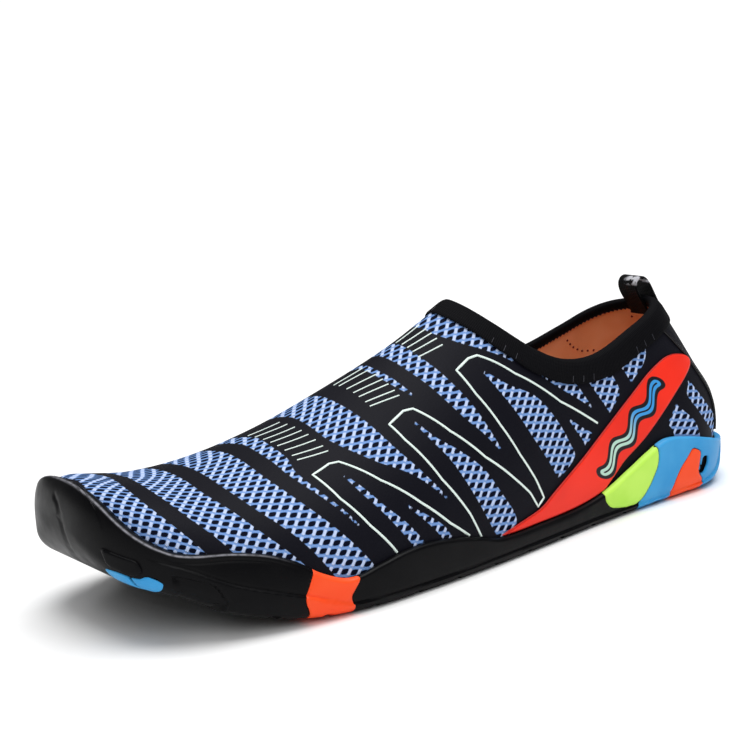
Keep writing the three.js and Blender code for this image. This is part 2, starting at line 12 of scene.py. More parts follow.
import bpy
import numpy as np
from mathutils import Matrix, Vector


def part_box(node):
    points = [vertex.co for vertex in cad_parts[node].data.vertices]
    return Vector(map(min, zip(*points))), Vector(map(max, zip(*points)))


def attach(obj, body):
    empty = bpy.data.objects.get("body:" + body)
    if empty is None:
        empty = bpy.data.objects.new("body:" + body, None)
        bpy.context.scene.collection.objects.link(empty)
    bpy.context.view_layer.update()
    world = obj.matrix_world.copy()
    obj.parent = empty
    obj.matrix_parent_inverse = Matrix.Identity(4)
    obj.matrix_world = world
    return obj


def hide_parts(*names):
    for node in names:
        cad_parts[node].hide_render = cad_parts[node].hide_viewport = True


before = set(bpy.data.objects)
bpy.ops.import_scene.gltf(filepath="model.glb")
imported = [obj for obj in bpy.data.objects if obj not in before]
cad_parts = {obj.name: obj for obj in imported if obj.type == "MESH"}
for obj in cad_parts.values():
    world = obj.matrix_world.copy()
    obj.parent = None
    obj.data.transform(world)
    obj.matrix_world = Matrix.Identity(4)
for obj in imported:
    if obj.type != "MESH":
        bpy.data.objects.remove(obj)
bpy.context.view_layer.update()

LOG = logging.getLogger("water_shoe")
QUARTER = math.pi / 2
MM = 0.001
GAP = 0.3


class Side(Enum):
    """The two sides of a left shoe."""

    OUTER = 1
    INNER = -1


# ---------------------------------------------------------------- the form

@dataclass(frozen=True)
class Table:
    """Rows of numbers with named columns, read smoothly along the first one."""

    columns: tuple[str, ...]
    rows: tuple[tuple[float, ...], ...]

    def read(self, column: str, place: np.ndarray | float) -> np.ndarray:
        """Smooth value of a column.

        Args:
            column: The column's name.
            place: Places along the first column.

        Returns:
            One value for each place.
        """
        grid = np.array(self.rows)
        xs, ys = grid[:, 0], grid[:, self.columns.index(column)]
        last = len(xs) - 1
        after = np.minimum(np.arange(last + 1) + 1, last)
        before = np.maximum(np.arange(last + 1) - 1, 0)
        slopes = (ys[after] - ys[before]) / (xs[after] - xs[before])
        place = np.asarray(place, float)
        i = np.clip(np.searchsorted(xs, place) - 1, 0, last - 1)
        span = xs[i + 1] - xs[i]
        t = np.clip((place - xs[i]) / span, 0, 1)
        rise = ys[i + 1] - ys[i]
        bend_in = slopes[i] * span - rise
        bend_out = rise - slopes[i + 1] * span
        return ys[i] + rise * t + t * (1 - t) * ((1 - t) * bend_in + t * bend_out)


SECTIONS = Table(
    ("at", "half", "centre", "ridge", "sole", "spring", "top", "side", "crown", "tuck"),
    (
        (0.00, 0.335, 0.000, 0.000, 1.30, 0.00, 1.20, 2.00, 1.00, 0.72),
        (0.08, 0.335, 0.000, 0.000, 1.08, 0.00, 1.20, 1.95, 1.00, 0.74),
        (0.18, 0.340, 0.005, 0.000, 1.00, 0.00, 1.20, 1.90, 1.00, 0.78),
        (0.30, 0.350, 0.020, 0.000, 1.02, 0.00, 1.15, 1.75, 1.00, 0.88),
        (0.42, 0.380, 0.045, 0.005, 1.02, 0.00, 1.03, 1.45, 1.00, 0.90),
        (0.52, 0.420, 0.050, 0.000, 0.95, 0.00, 0.87, 1.20, 1.00, 0.90),
        (0.62, 0.465, 0.035, -0.015, 0.90, 0.00, 0.735, 1.08, 0.97, 0.90),
        (0.71, 0.500, 0.010, -0.030, 0.90, 0.00, 0.620, 0.95, 0.92, 0.88),
        (0.80, 0.495, -0.010, -0.045, 0.82, 0.09, 0.555, 0.88, 0.88, 0.86),
        (0.88, 0.475, -0.035, -0.055, 0.74, 0.36, 0.540, 0.82, 0.84, 0.80),
        (0.94, 0.465, -0.055, -0.065, 0.68, 0.74, 0.570, 0.80, 0.78, 0.74),
        (1.00, 0.450, -0.070, -0.070, 0.55, 1.05, 0.620, 0.80, 0.76, 0.70),
    ),
)
STEP_LINE = Table(
    ("at", "height"),
    ((0.00, 12.5), (0.02, 11.0), (0.045, 7.6), (0.07, 5.0), (0.10, 3.3), (0.16, 2.7),
     (0.30, 2.7), (0.60, 2.9), (0.72, 3.3),
     (0.745, 3.6), (0.80, 7.6), (0.86, 9.2), (1.00, 9.2)),
)
HEEL_LINE = Table(
    ("height", "forward"),
    ((0.00, 0.24), (0.12, 0.15), (0.28, -0.05), (0.40, -0.02), (0.55, 0.30),
     (0.85, 0.88), (1.25, 1.75)),
)
COLLAR_LINE = Table(
    ("at", "heel", "throat"),
    ((-0.10, 1.00, 0.00), (0.02, 0.98, 0.00), (0.09, 0.74, 0.00), (0.17, 0.28, 0.00),
     (0.25, -0.05, 0.00), (0.31, -0.03, 0.05), (0.36, 0.00, 0.30), (0.40, 0.00, 0.65),
     (0.435, 0.00, 1.00), (0.50, 0.00, 1.60)),
)
OUTER_LIFT = Table(
    ("at", "lift"),
    ((-0.10, 0.0), (0.015, 0.0), (0.05, 0.8), (0.09, 2.2), (0.14, 3.4), (0.19, 3.8),
     (0.25, 3.4), (0.30, 2.6), (0.35, 1.2), (0.39, 0.3), (0.43, 0.0), (0.50, 0.0)),
)
RAND_LINE = Table(
    ("at", "side", "toe"),
    ((-0.10, 0.88, 0.00), (0.03, 0.92, 0.00), (0.08, 1.14, 0.00), (0.12, 1.30, 0.00),
     (0.165, 1.39, 0.00), (0.20, 1.22, 0.00), (0.24, 0.97, 0.00), (0.29, 0.68, 0.00),
     (0.34, 0.54, 0.00), (0.42, 0.51, 0.00), (0.50, 0.54, 0.00), (0.54, 0.72, 0.00),
     (0.58, 0.86, 0.00), (0.62, 0.94, 0.00), (0.66, 0.93, 0.00), (0.70, 0.83, 0.00),
     (0.745, 0.72, 0.00), (0.78, 0.93, 0.00), (0.81, 1.26, 0.00),
     (0.84, 1.48, 0.00), (0.88, 1.63, 0.00), (0.94, 1.76, 0.00), (0.965, 1.80, 0.18),
     (0.98, 1.80, 0.42), (0.99, 1.80, 0.72), (1.00, 1.80, 1.20), (1.03, 1.80, 3.00)),
)


def rounded(far: np.ndarray, squareness: float) -> np.ndarray:
    """Quarter of a squared circle: 1 inside, falling to 0 as far reaches 1."""
    t = np.clip(far, 0, 1)
    return (1 - t**squareness) ** (1 / squareness)


@dataclass(frozen=True)
class FootForm:
    """The foot form that the upper and the sole are shaped over."""

    length: float = 265.0
    ball: float = 97.0
    instep: float = 82.0
    heel_lean: float = 24.0
    lean_reach: float = 90.0
    heel_cap: float = 32.0
    toe_cap: float = 53.0
    nose_cap: float = 12.0
    heel_squareness: float = 2.1
    toe_squareness: float = 2.8
    nose_squareness: float = 2.5
    sole: float = 8.0
    toe_spring: float = 22.0
    heel_roll: float = 7.0
    roll_length: float = 19.2
    edge_bulge: float = 0.75
    collar_heel: float = 71.5
    collar_low: float = 54.5
    collar_throat: float = 84.0
    rand_height: float = 17.0
    rand_toe_rise: float = 20.0

    def section(self, at: np.ndarray, grow: np.ndarray | float) -> dict[str, np.ndarray]:
        """Widths and heights of sections, grown outwards all round.

        Args:
            at: Shares of the form's length.
            grow: How far the form is grown, for each point or for all.

        Returns:
            The section's measures by name.
        """
        at = np.asarray(at, float)
        read = SECTIONS.read
        share = rounded(1 - at * self.length / self.heel_cap, self.heel_squareness)
        share = share * rounded(1 - (1 - at) * self.length / self.toe_cap, self.toe_squareness)
        centre = self.ball * read("centre", at)
        tip = dict(zip(SECTIONS.columns, SECTIONS.rows[-1]))
        nose = (self.toe_spring + self.sole * tip["sole"] + self.instep * tip["top"]) / 2
        opening = rounded(1 - (1 - at) * self.length / self.nose_cap, self.nose_squareness)
        spring = self.toe_spring * read("spring", at)
        roll = np.maximum(1 - at * self.length / self.roll_length, 0) ** 2
        levels = {
            "bed": spring + self.sole * read("sole", at),
            "top": self.instep * read("top", at) + grow,
            "ground": spring + self.heel_roll * roll,
        }
        return {
            "half": (self.ball * read("half", at) + grow) * share,
            "centre": centre,
            "ridge": centre + (self.ball * read("ridge", at) - centre) * share,
            "side": read("side", at),
            "crown": read("crown", at),
            "tuck": read("tuck", at),
            "x": -grow + (self.length + 2 * grow) * at,
            "reach": np.maximum(1 - at * self.length / self.lean_reach, 0) ** 2,
            **{name: nose + (level - nose) * opening for name, level in levels.items()},
        }

    def placed(self, s: dict[str, np.ndarray], y: np.ndarray, z: np.ndarray) -> np.ndarray:
        """Points of sections, moved forward by the lean of the heel."""
        forward = HEEL_LINE.read("forward", np.clip(z / self.instep, 0, 1.25))
        x = s["x"] + self.heel_lean * forward * s["reach"]
        return np.stack(np.broadcast_arrays(x, y, z), -1)

    def wall(self, at: np.ndarray, side: Side, turn: np.ndarray,
             grow: np.ndarray | float) -> np.ndarray:
        """Points of the arch above the feather edge.

        Args:
            at: Shares of the form's length.
            side: Which side of the shoe.
            turn: 0 at the feather edge, a quarter turn at the ridge.
            grow: How far the form is grown.

        Returns:
            Points in millimetres, with the coordinates last.
        """
        s = self.section(at, grow)
        out = s["centre"] + side.value * s["half"] - s["ridge"]
        y = s["ridge"] + out * np.cos(turn).clip(0) ** s["side"]
        z = s["bed"] + (s["top"] - s["bed"]) * np.sin(turn).clip(0) ** s["crown"]
        return self.placed(s, y, z)

    def edge(self, at: np.ndarray, side: Side, turn: np.ndarray,
             grow: np.ndarray | float) -> np.ndarray:
        """Points of the sole's rounded edge, from the feather to the tread's flat."""
        s = self.section(at, grow)
        flat = s["half"] * s["tuck"]
        out = flat + (s["half"] - flat) * np.cos(turn).clip(0) ** self.edge_bulge
        z = s["bed"] - (s["bed"] - s["ground"]) * np.sin(turn).clip(0) ** self.edge_bulge
        return self.placed(s, s["centre"] + side.value * out, z)

    def flat(self, at: np.ndarray, side: Side, share: np.ndarray,
             grow: np.ndarray | float) -> np.ndarray:
        """Points of the tread's flat: share 1 at its edge and 0 on the middle line."""
        s = self.section(at, grow)
        y = s["centre"] + side.value * s["half"] * s["tuck"] * share
        return self.placed(s, y, s["ground"] + 0 * y)

    def collar(self, x: np.ndarray) -> np.ndarray:
        """Height of the inner side's collar edge over places along the shoe."""
        at = x / self.length
        return (self.collar_low
                + (self.collar_heel - self.collar_low) * COLLAR_LINE.read("heel", at)
                + (self.collar_throat - self.collar_low) * COLLAR_LINE.read("throat", at))

    def outer_collar(self, x: np.ndarray) -> np.ndarray:
        """Height of the outer side's collar edge, which stands a little higher."""
        return self.collar(x) + OUTER_LIFT.read("lift", x / self.length)

    def collar_of(self, side: Side) -> Callable[[np.ndarray], np.ndarray]:
        """The collar's edge on one side."""
        return self.outer_collar if side is Side.OUTER else self.collar

    def rand(self, x: np.ndarray) -> np.ndarray:
        """Height of the rubber's top edge over places along the shoe."""
        at = x / self.length
        return (self.rand_height * RAND_LINE.read("side", at)
                + self.rand_toe_rise * RAND_LINE.read("toe", at))

    def stations(self, heel: int, body: int, toe: int) -> np.ndarray:
        """Shares of the length, closer together where the ends are round."""
        start = self.heel_cap / self.length
        end = 1 - self.toe_cap / self.length
        return np.concatenate([
            start * (1 - np.cos(np.arange(heel) / heel * QUARTER)),
            start + (end - start) * np.arange(body) / body,
            end + (1 - end) * np.sin(np.arange(toe + 1) / toe * QUARTER),
        ])

    def cut(self, at: np.ndarray, side: Side, grow: float,
            line: Callable[[np.ndarray], np.ndarray]) -> np.ndarray:
        """Turn at which each section reaches a side-view line.

        Args:
            at: Shares of the form's length.
            side: Which side of the shoe.
            grow: How far the form is grown.
            line: Height of the line over x.

        Returns:
            The turns, a quarter turn where the line passes over the ridge.
        """
        low, high = np.zeros_like(at), np.full_like(at, QUARTER)
        ridge = self.wall(at, side, high, grow)
        over = ridge[..., 2] <= line(ridge[..., 0])
        for _ in range(30):
            middle = (low + high) / 2
            point = self.wall(at, side, middle, grow)
            under = point[..., 2] < line(point[..., 0])
            low, high = np.where(under, middle, low), np.where(under, high, middle)
        return np.where(over, QUARTER, low)

    def crossing(self, low: float, high: float, grow: float,
                 line: Callable[[np.ndarray], np.ndarray]) -> float:
        """Share of the length at which a side-view line passes over the ridge."""
        for _ in range(40):
            middle = (low + high) / 2
            ridge = self.wall(np.array(middle), Side.OUTER, np.array(QUARTER), grow)
            low, high = (low, middle) if ridge[2] <= line(ridge[0]) else (middle, high)
        return (low + high) / 2


FORM = FootForm()


def frame_shift() -> np.ndarray:
    """Millimetres from the form's frame to the part's frame, read off two nodes."""
    upper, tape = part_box("upper"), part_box("heel_tape")
    return np.array([upper[1].x / MM - FORM.length, (tape[0].y + tape[1].y) / 2 / MM, 0.0])


SHIFT = frame_shift()


# ---------------------------------------------------------------- outlines

Outline = tuple[tuple[float, float], ...]

SIDE_PANEL: Outline = (
    (0.125, 0.735), (0.085, 0.705), (0.072, 0.660), (0.109, 0.590), (0.165, 0.445),
    (0.207, 0.346), (0.248, 0.277), (0.268, 0.222), (0.292, 0.162), (0.320, 0.080),
    (0.505, 0.080), (0.505, 0.130), (0.418, 0.188), (0.396, 0.233), (0.322, 0.360),
    (0.243, 0.523), (0.170, 0.672))
BALL_BLOCK: Outline = (
    (0.787, 0.360), (0.790, 0.245), (0.808, 0.120), (0.802, 0.060), (0.799, -0.050),
    (0.740, -0.050), (0.741, 0.045), (0.747, 0.085), (0.731, 0.155), (0.726, 0.360))
LIME_BLOCK: Outline = (
    (0.300, 0.250), (0.298, 0.110), (0.288, 0.068), (0.262, 0.044), (0.234, 0.040),
    (0.222, 0.072), (0.206, 0.132), (0.191, 0.207), (0.187, 0.262), (0.192, 0.420),
    (0.240, 0.400))
BLUE_BLOCK: Outline = (
    (-0.100, -0.050), (0.228, -0.050), (0.234, 0.040), (0.222, 0.072), (0.206, 0.132),
    (0.191, 0.207), (0.187, 0.262), (0.192, 0.420), (-0.100, 0.420))
HEEL_STRIPE: Outline = (
    (0.120, 0.247), (0.104, 0.215), (0.113, 0.105), (0.103, 0.066), (0.098, -0.050),
    (0.172, -0.050), (0.168, 0.042), (0.157, 0.112), (0.146, 0.162), (0.133, 0.200))
HEEL_NOTCH: Outline = (
    (0.101, 0.182), (0.089, 0.178), (0.090, 0.140), (0.101, 0.094), (0.112, 0.104),
    (0.106, 0.140))
SIDE_RECESS: Outline = (
    (0.948, 0.330), (0.908, 0.270), (0.893, 0.175), (0.905, 0.000), (0.940, 0.100),
    (0.940, 0.240))
TOE_RIB: Outline = (
    (0.250, 0.840), (0.375, 0.740), (0.385, 0.640), (0.356, 0.610), (0.272, 0.690))
TOE_BLOCK: Outline = (
    (0.245, 0.655), (0.295, 0.645), (0.370, 0.590), (0.390, 0.620), (0.425, 0.560),
    (0.460, 0.300), (0.245, 0.300))
INNER_TOE_BLOCK: Outline = (
    (0.330, 0.620), (0.370, 0.590), (0.390, 0.620), (0.425, 0.560), (0.460, 0.300),
    (0.330, 0.300))


def outline_distance(points: np.ndarray, outline: np.ndarray) -> np.ndarray:
    """Distance of points in a plane to a closed outline, negative inside it.

    Args:
        points: Points, coordinates last.
        outline: The outline's corners.

    Returns:
        One signed distance for each point.
    """
    flat = points.reshape(-1, 2)
    best = np.full(len(flat), 1e9)
    inside = np.zeros(len(flat), bool)
    for a, b in zip(outline, np.roll(outline, -1, axis=0)):
        along = b - a
        t = np.clip((flat - a) @ along / (along @ along), 0, 1)
        best = np.minimum(best, np.hypot(*(flat - a - t[:, None] * along).T))
        crosses = (a[1] > flat[:, 1]) != (b[1] > flat[:, 1])
        rise = along[1] if along[1] else 1e-9
        inside ^= crosses & (flat[:, 0] < a[0] + along[0] * (flat[:, 1] - a[1]) / rise)
    return np.where(inside, -best, best).reshape(points.shape[:-1])


def softened(outline: np.ndarray, radius: float, steps: int = 4) -> np.ndarray:
    """An outline whose corners are rounded by short curves.

    Args:
        outline: The corners.
        radius: How far along each side a corner's curve starts.
        steps: Parts of each curve.

    Returns:
        The denser outline.
    """
    points = []
    for before, corner, after in zip(np.roll(outline, 1, 0), outline, np.roll(outline, -1, 0)):
        ends = []
        for other in (before, after):
            reach = np.linalg.norm(other - corner)
            ends.append(corner + (other - corner) * min(radius / reach, 0.45))
        for t in np.linspace(0, 1, steps + 1):
            points.append((1 - t)**2 * ends[0] + 2 * t * (1 - t) * corner + t * t * ends[1])
    return np.array(points)


def side_outline(outline: Outline, radius: float) -> np.ndarray:
    """A side-view outline in millimetres, softened."""
    return softened(np.array(outline) * (FORM.length, FORM.collar_heel), radius)


def toe_outline(outline: Outline, side: Side, radius: float) -> np.ndarray:
    """A front-view outline in millimetres on one side of the toe, softened."""
    tip = FORM.section(np.array(1.0), 0.0)
    corners = np.array(outline) * (side.value * FORM.ball, float(tip["bed"]))
    return softened(corners + (float(tip["centre"]), 0.0), radius)


# ---------------------------------------------------------------- meshes

@dataclass
class Skin:
    """A surface in millimetres, with a cloth chart and named fields at its points."""

    points: np.ndarray
    faces: list[tuple[int, ...]]
    chart: np.ndarray
    fields: dict[str, np.ndarray] = field(default_factory=dict)
    finish: np.ndarray | None = None

    @staticmethod
    def grid(points: np.ndarray, flip: bool, chart: np.ndarray | None = None,
             fields: dict[str, np.ndarray] | None = None, finish: int = 0,
             loop: bool = False) -> "Skin":
        """A skin over a grid of points.

        Args:
            points: Points, row by row, coordinates last.
            flip: Whether the faces are turned over.
            chart: Cloth coordinates of the points.
            fields: Values at the points by name.
            finish: Index of the material.
            loop: Whether the last column joins the first.

        Returns:
            The skin.
        """
        rows, columns = points.shape[:2]
        i, j = np.meshgrid(np.arange(rows - 1), np.arange(columns - (not loop)), indexing="ij")
        after = (j + 1) % columns
        quads = np.stack([i * columns + j, (i + 1) * columns + j,
                          (i + 1) * columns + after, i * columns + after], -1).reshape(-1, 4)
        if flip:
            quads = quads[:, ::-1]
        flat_chart = np.zeros((rows * columns, 2)) if chart is None else chart.reshape(-1, 2)
        values = {name: value.reshape(-1) for name, value in (fields or {}).items()}
        return Skin(points.reshape(-1, 3), [tuple(q) for q in quads.tolist()], flat_chart,
                    values, np.full(len(quads), finish))

    @staticmethod
    def joined(skins: Sequence["Skin"]) -> "Skin":
        """Several skins in one, point for point."""
        names = set().union(*(s.fields for s in skins))
        faces: list[tuple[int, ...]] = []
        start = 0
        for s in skins:
            faces += [tuple(i + start for i in f) for f in s.faces]
            start += len(s.points)
        fields = {n: np.concatenate([s.fields.get(n, np.zeros(len(s.points))) for s in skins])
                  for n in names}
        finish = np.concatenate([np.zeros(len(s.faces), int) if s.finish is None else s.finish
                                 for s in skins])
        return Skin(np.concatenate([s.points for s in skins]), faces,
                    np.concatenate([s.chart for s in skins]), fields, finish)

    def welded(self) -> "Skin":
        """The skin with points that lie on each other made one."""
        keys = np.round(self.points / 1e-4).astype(np.int64)
        _, first, back = np.unique(keys, axis=0, return_index=True, return_inverse=True)
        back = back.reshape(-1)
        faces, finish = [], []
        for f, look in zip(self.faces, self.finish):
            ring = [int(back[i]) for i in f]
            ring = [v for k, v in enumerate(ring) if v != ring[k - 1]]
            if len(set(ring)) == len(ring) > 2:
                faces.append(tuple(ring))
                finish.append(look)
        return Skin(self.points[first], faces, self.chart[first],
                    {n: v[first] for n, v in self.fields.items()}, np.array(finish))

    def clipped(self, values: np.ndarray) -> "Skin":
        """The part of the skin where a field is below 0, with a clean edge.

        Args:
            values: The field at the points.

        Returns:
            The part, in triangles.
        """
        stack = {**{f"field:{n}": v for n, v in self.fields.items()}, "value": values}
        names = list(stack)
        data = np.column_stack([self.points, self.chart, *stack.values()])
        extra: list[np.ndarray] = []
        cuts: dict[tuple[int, int], int] = {}

        def crossing(a: int, b: int) -> int:
            """Index of the point where the field is 0 between two points."""
            key = (min(a, b), max(a, b))
            if key not in cuts:
                t = values[a] / (values[a] - values[b])
                cuts[key] = len(data) + len(extra)
                extra.append(data[a] + (data[b] - data[a]) * t)
            return cuts[key]

        faces = []
        for f in self.faces:
            if all(values[i] >= 0 for i in f):
                continue
            ring: list[int] = []
            for a, b in zip(f, f[1:] + f[:1]):
                if values[a] < 0:
                    ring.append(a)
                if (values[a] < 0) != (values[b] < 0):
                    ring.append(crossing(a, b))
            if len(ring) > 2:
                faces.append(tuple(ring))
        full = np.vstack([data, extra]) if extra else data
        used = np.unique([i for f in faces for i in f])
        back = {int(old): new for new, old in enumerate(used)}
        kept = full[used]
        fields = {n[6:]: kept[:, 5 + k] for k, n in enumerate(names) if n != "value"}
        fields["rim"] = -kept[:, 5 + names.index("value")]
        return Skin(kept[:, :3], [tuple(back[i] for i in f) for f in faces], kept[:, 3:5],
                    fields, np.zeros(len(faces), int))

    def normals(self) -> np.ndarray:
        """Unit normals at the points."""
        total = np.zeros_like(self.points)
        for size in {len(f) for f in self.faces}:
            ring = np.array([f for f in self.faces if len(f) == size])
            p = self.points[ring]
            turn = sum(np.cross(p[:, k] - p[:, 0], p[:, k + 1] - p[:, 0])
                       for k in range(1, size - 1))
            for k in range(size):
                np.add.at(total, ring[:, k], turn)
        lengths = np.linalg.norm(total, axis=1, keepdims=True)
        return total / np.where(lengths > 0, lengths, 1)

    def thickened(self, depth: float, sink: float = 0.0, bevel: float = 0.0) -> "Skin":
        """A closed plate with this skin as its face.

        Args:
            depth: How thick the plate is.
            sink: How far the face drops at its rim.
            bevel: How far in from the rim the face drops.

        Returns:
            The plate.
        """
        normal = self.normals()
        face = self.points.copy()
        if bevel > 0:
            t = np.clip(self.fields["rim"] / bevel, 0, 1)
            face -= normal * (sink * (1 - np.sqrt(1 - (1 - t)**2)))[:, None]
        count = len(face)
        edges: dict[tuple[int, int], bool] = {}
        for f in self.faces:
            for a, b in zip(f, f[1:] + f[:1]):
                if (b, a) in edges:
                    del edges[(b, a)]
                else:
                    edges[(a, b)] = True
        faces = list(self.faces)
        faces += [tuple(i + count for i in reversed(f)) for f in self.faces]
        faces += [(b, a, a + count, b + count) for a, b in edges]
        return Skin(np.vstack([face, self.points - normal * depth]), faces,
                    np.vstack([self.chart] * 2),
                    {n: np.concatenate([v, v]) for n, v in self.fields.items()},
                    np.zeros(len(faces), int))

    def to_object(self, name: str, finishes: Sequence[bpy.types.Material],
                  sharp: float = 50.0) -> bpy.types.Object:
        """A Blender object of this skin.

        Args:
            name: The piece's name.
            finishes: Its materials.
            sharp: Degrees past which an edge stays hard.

        Returns:
            The object, at the origin.
        """
        mesh = bpy.data.meshes.new(name)
        mesh.from_pydata(((self.points + SHIFT) * MM).tolist(), [], self.faces)
        loops = np.empty(len(mesh.loops), np.int32)
        mesh.loops.foreach_get("vertex_index", loops)
        layer = mesh.uv_layers.new(name="cloth")
        layer.data.foreach_set("uv", self.chart[loops].astype(np.float32).ravel())
        for label, values in self.fields.items():
            attribute = mesh.attributes.new(label, "FLOAT", "POINT")
            attribute.data.foreach_set("value", values.astype(np.float32))
        for finish in finishes:
            mesh.materials.append(finish)
        if self.finish is not None:
            mesh.polygons.foreach_set("material_index", self.finish.astype(np.int32))
        mesh.polygons.foreach_set("use_smooth", np.ones(len(mesh.polygons), bool))
        mesh.set_sharp_from_angle(angle=math.radians(sharp))
        mesh.update()
        return link(name, mesh)


def link(name: str, mesh: bpy.types.Mesh) -> bpy.types.Object:
    """A new object in the scene that shows a mesh."""
    piece = bpy.data.objects.new(name, mesh)
    bpy.context.scene.collection.objects.link(piece)
    return piece


def ease(value: np.ndarray, start: float, end: float) -> np.ndarray:
    """Smooth step from 0 at start to 1 at end."""
    t = np.clip((value - start) / (end - start), 0, 1)
    return t * t * (3 - 2 * t)


def arc_shares(points: np.ndarray) -> np.ndarray:
    """Running length along the last-but-one axis of an array of points."""
    steps = np.linalg.norm(np.diff(points, axis=-2), axis=-1)
    start = np.zeros(steps.shape[:-1] + (1,))
    return np.concatenate([start, np.cumsum(steps, -1)], -1)


@dataclass(frozen=True)
class WallGrid:
    """Evenly spaced rows up one side of the form, cut off by a side-view line."""

    at: np.ndarray
    side: Side
    rows: int
    line: Callable[[np.ndarray], np.ndarray]
    grow: float = 0.0
    lip_rows: int = 0
    lip_depth: float = 0.0

    def shares(self, total: float) -> np.ndarray:
        """Places of the rows on a section of some length, closer near its top edge."""
        if self.lip_rows == 0 or total < 1e-6:
            return np.linspace(0, 1, self.rows + 1)
        lip = min(self.lip_depth, total / 2) / total
        low = np.linspace(0, 1 - lip, self.rows - self.lip_rows + 1)
        return np.append(low, np.linspace(1 - lip, 1, self.lip_rows + 1)[1:])

    def turns(self) -> np.ndarray:
        """Turns of the grid's points, spaced evenly along each section."""
        cut = FORM.cut(self.at, self.side, self.grow, self.line)
        fine = np.linspace(0, 1, 160)[None, :] ** 1.5
        turn = (1 - (1 - fine) ** 1.3) * cut[:, None]
        run = arc_shares(FORM.wall(self.at[:, None], self.side, turn, self.grow))
        out = np.empty((len(self.at), self.rows + 1))
        for k in range(len(self.at)):
            total = run[k, -1] if run[k, -1] > 1e-9 else 1.0
            shares = run[k] / total if run[k, -1] > 1e-9 else np.linspace(0, 1, 160)
            out[k] = np.interp(self.shares(total), shares, turn[k])
        out[:, -1] = cut
        return out


def rim(first: np.ndarray, second: np.ndarray, flip: bool, finish: int = 0) -> Skin:
    """A strip of faces between two rows of points."""
    return Skin.grid(np.stack([first, second], 1), flip, finish=finish)


# ---------------------------------------------------------------- finishes

def srgb(code: str) -> tuple[float, float, float, float]:
    """Linear colour of an sRGB hex value."""
    parts = [int(code[i:i + 2], 16) / 255 for i in (1, 3, 5)]
    linear = [c / 12.92 if c <= 0.04045 else ((c + 0.055) / 1.055) ** 2.4 for c in parts]
    return (*linear, 1.0)


def add_node(tree: bpy.types.NodeTree, kind: str, links: dict | None = None,
             **settings) -> bpy.types.Node:
    """Adds a node with its settings and links.

    Args:
        tree: The node tree.
        kind: The node's type.
        links: Values or output sockets by input name or index.
        **settings: Properties of the node.

    Returns:
        The node.
    """
    node = tree.nodes.new(kind)
    for key, value in settings.items():
        setattr(node, key, value)
    for key, value in (links or {}).items():
        if isinstance(value, bpy.types.NodeSocket):
            tree.links.new(value, node.inputs[key])
        else:
            node.inputs[key].default_value = value
    return node


Value = bpy.types.NodeSocket | float | tuple


class Finish:
    """A material under construction, with short ways to join its nodes."""

    def __init__(self, name: str, **surface: float | tuple) -> None:
        """Starts a material whose shader has constant sockets set by name."""
        self.material = bpy.data.materials.new(name)
        self.material.use_nodes = True
        self.tree = self.material.node_tree
        self.shader = self.tree.nodes["Principled BSDF"]
        for socket, value in surface.items():
            name = socket.replace("_", " ").title().replace("Ior", "IOR")
            self.shader.inputs[name].default_value = value

    def put(self, socket: str, value: Value) -> None:
        """Links or sets one of the shader's sockets."""
        if isinstance(value, bpy.types.NodeSocket):
            self.tree.links.new(value, self.shader.inputs[socket])
        else:
            self.shader.inputs[socket].default_value = value

    def math(self, operation: str, *values: Value) -> bpy.types.NodeSocket:
        """Output of a math node on the values."""
        links = dict(enumerate(values))
        return add_node(self.tree, "ShaderNodeMath", links, operation=operation).outputs[0]

    def mix(self, share: Value, first: Value, second: Value) -> bpy.types.NodeSocket:
        """Colour between two colours."""
        node = add_node(self.tree, "ShaderNodeMix", data_type="RGBA")
        for slot, value in ((0, share), (6, first), (7, second)):
            if isinstance(value, bpy.types.NodeSocket):
                self.tree.links.new(value, node.inputs[slot])
            else:
                node.inputs[slot].default_value = value
        return node.outputs[2]

    def step(self, value: Value, start: float, end: float, low: float = 0.0,
             high: float = 1.0) -> bpy.types.NodeSocket:
        """Smooth step of a value between two edges."""
        return add_node(self.tree, "ShaderNodeMapRange",
                        {0: value, 1: start, 2: end, 3: low, 4: high},
                        interpolation_type="SMOOTHSTEP").outputs[0]

    def noise(self, size_mm: float, detail: float = 2.0) -> bpy.types.NodeSocket:
        """Noise in object space whose features are about a size in millimetres."""
        place = add_node(self.tree, "ShaderNodeTexCoord").outputs["Object"]
        return add_node(self.tree, "ShaderNodeTexNoise", {
            "Vector": place, "Scale": 1 / (size_mm * MM), "Detail": detail}).outputs[0]

    def attribute(self, name: str) -> bpy.types.NodeSocket:
        """A float field of the mesh."""
        return add_node(self.tree, "ShaderNodeAttribute", attribute_name=name).outputs["Fac"]

    def cloth(self) -> tuple[bpy.types.NodeSocket, bpy.types.NodeSocket]:
        """The two cloth coordinates, in millimetres."""
        uv = add_node(self.tree, "ShaderNodeUVMap", uv_map="cloth").outputs[0]
        split = add_node(self.tree, "ShaderNodeSeparateXYZ", {0: uv})
        return split.outputs[0], split.outputs[1]

    def bump(self, height: bpy.types.NodeSocket, distance_mm: float,
             strength: float = 1.0) -> None:
        """Raises the surface by a height field of 0 to 1."""
        node = add_node(self.tree, "ShaderNodeBump", {
            "Height": height, "Distance": distance_mm * MM, "Strength": strength})
        self.put("Normal", node.outputs[0])


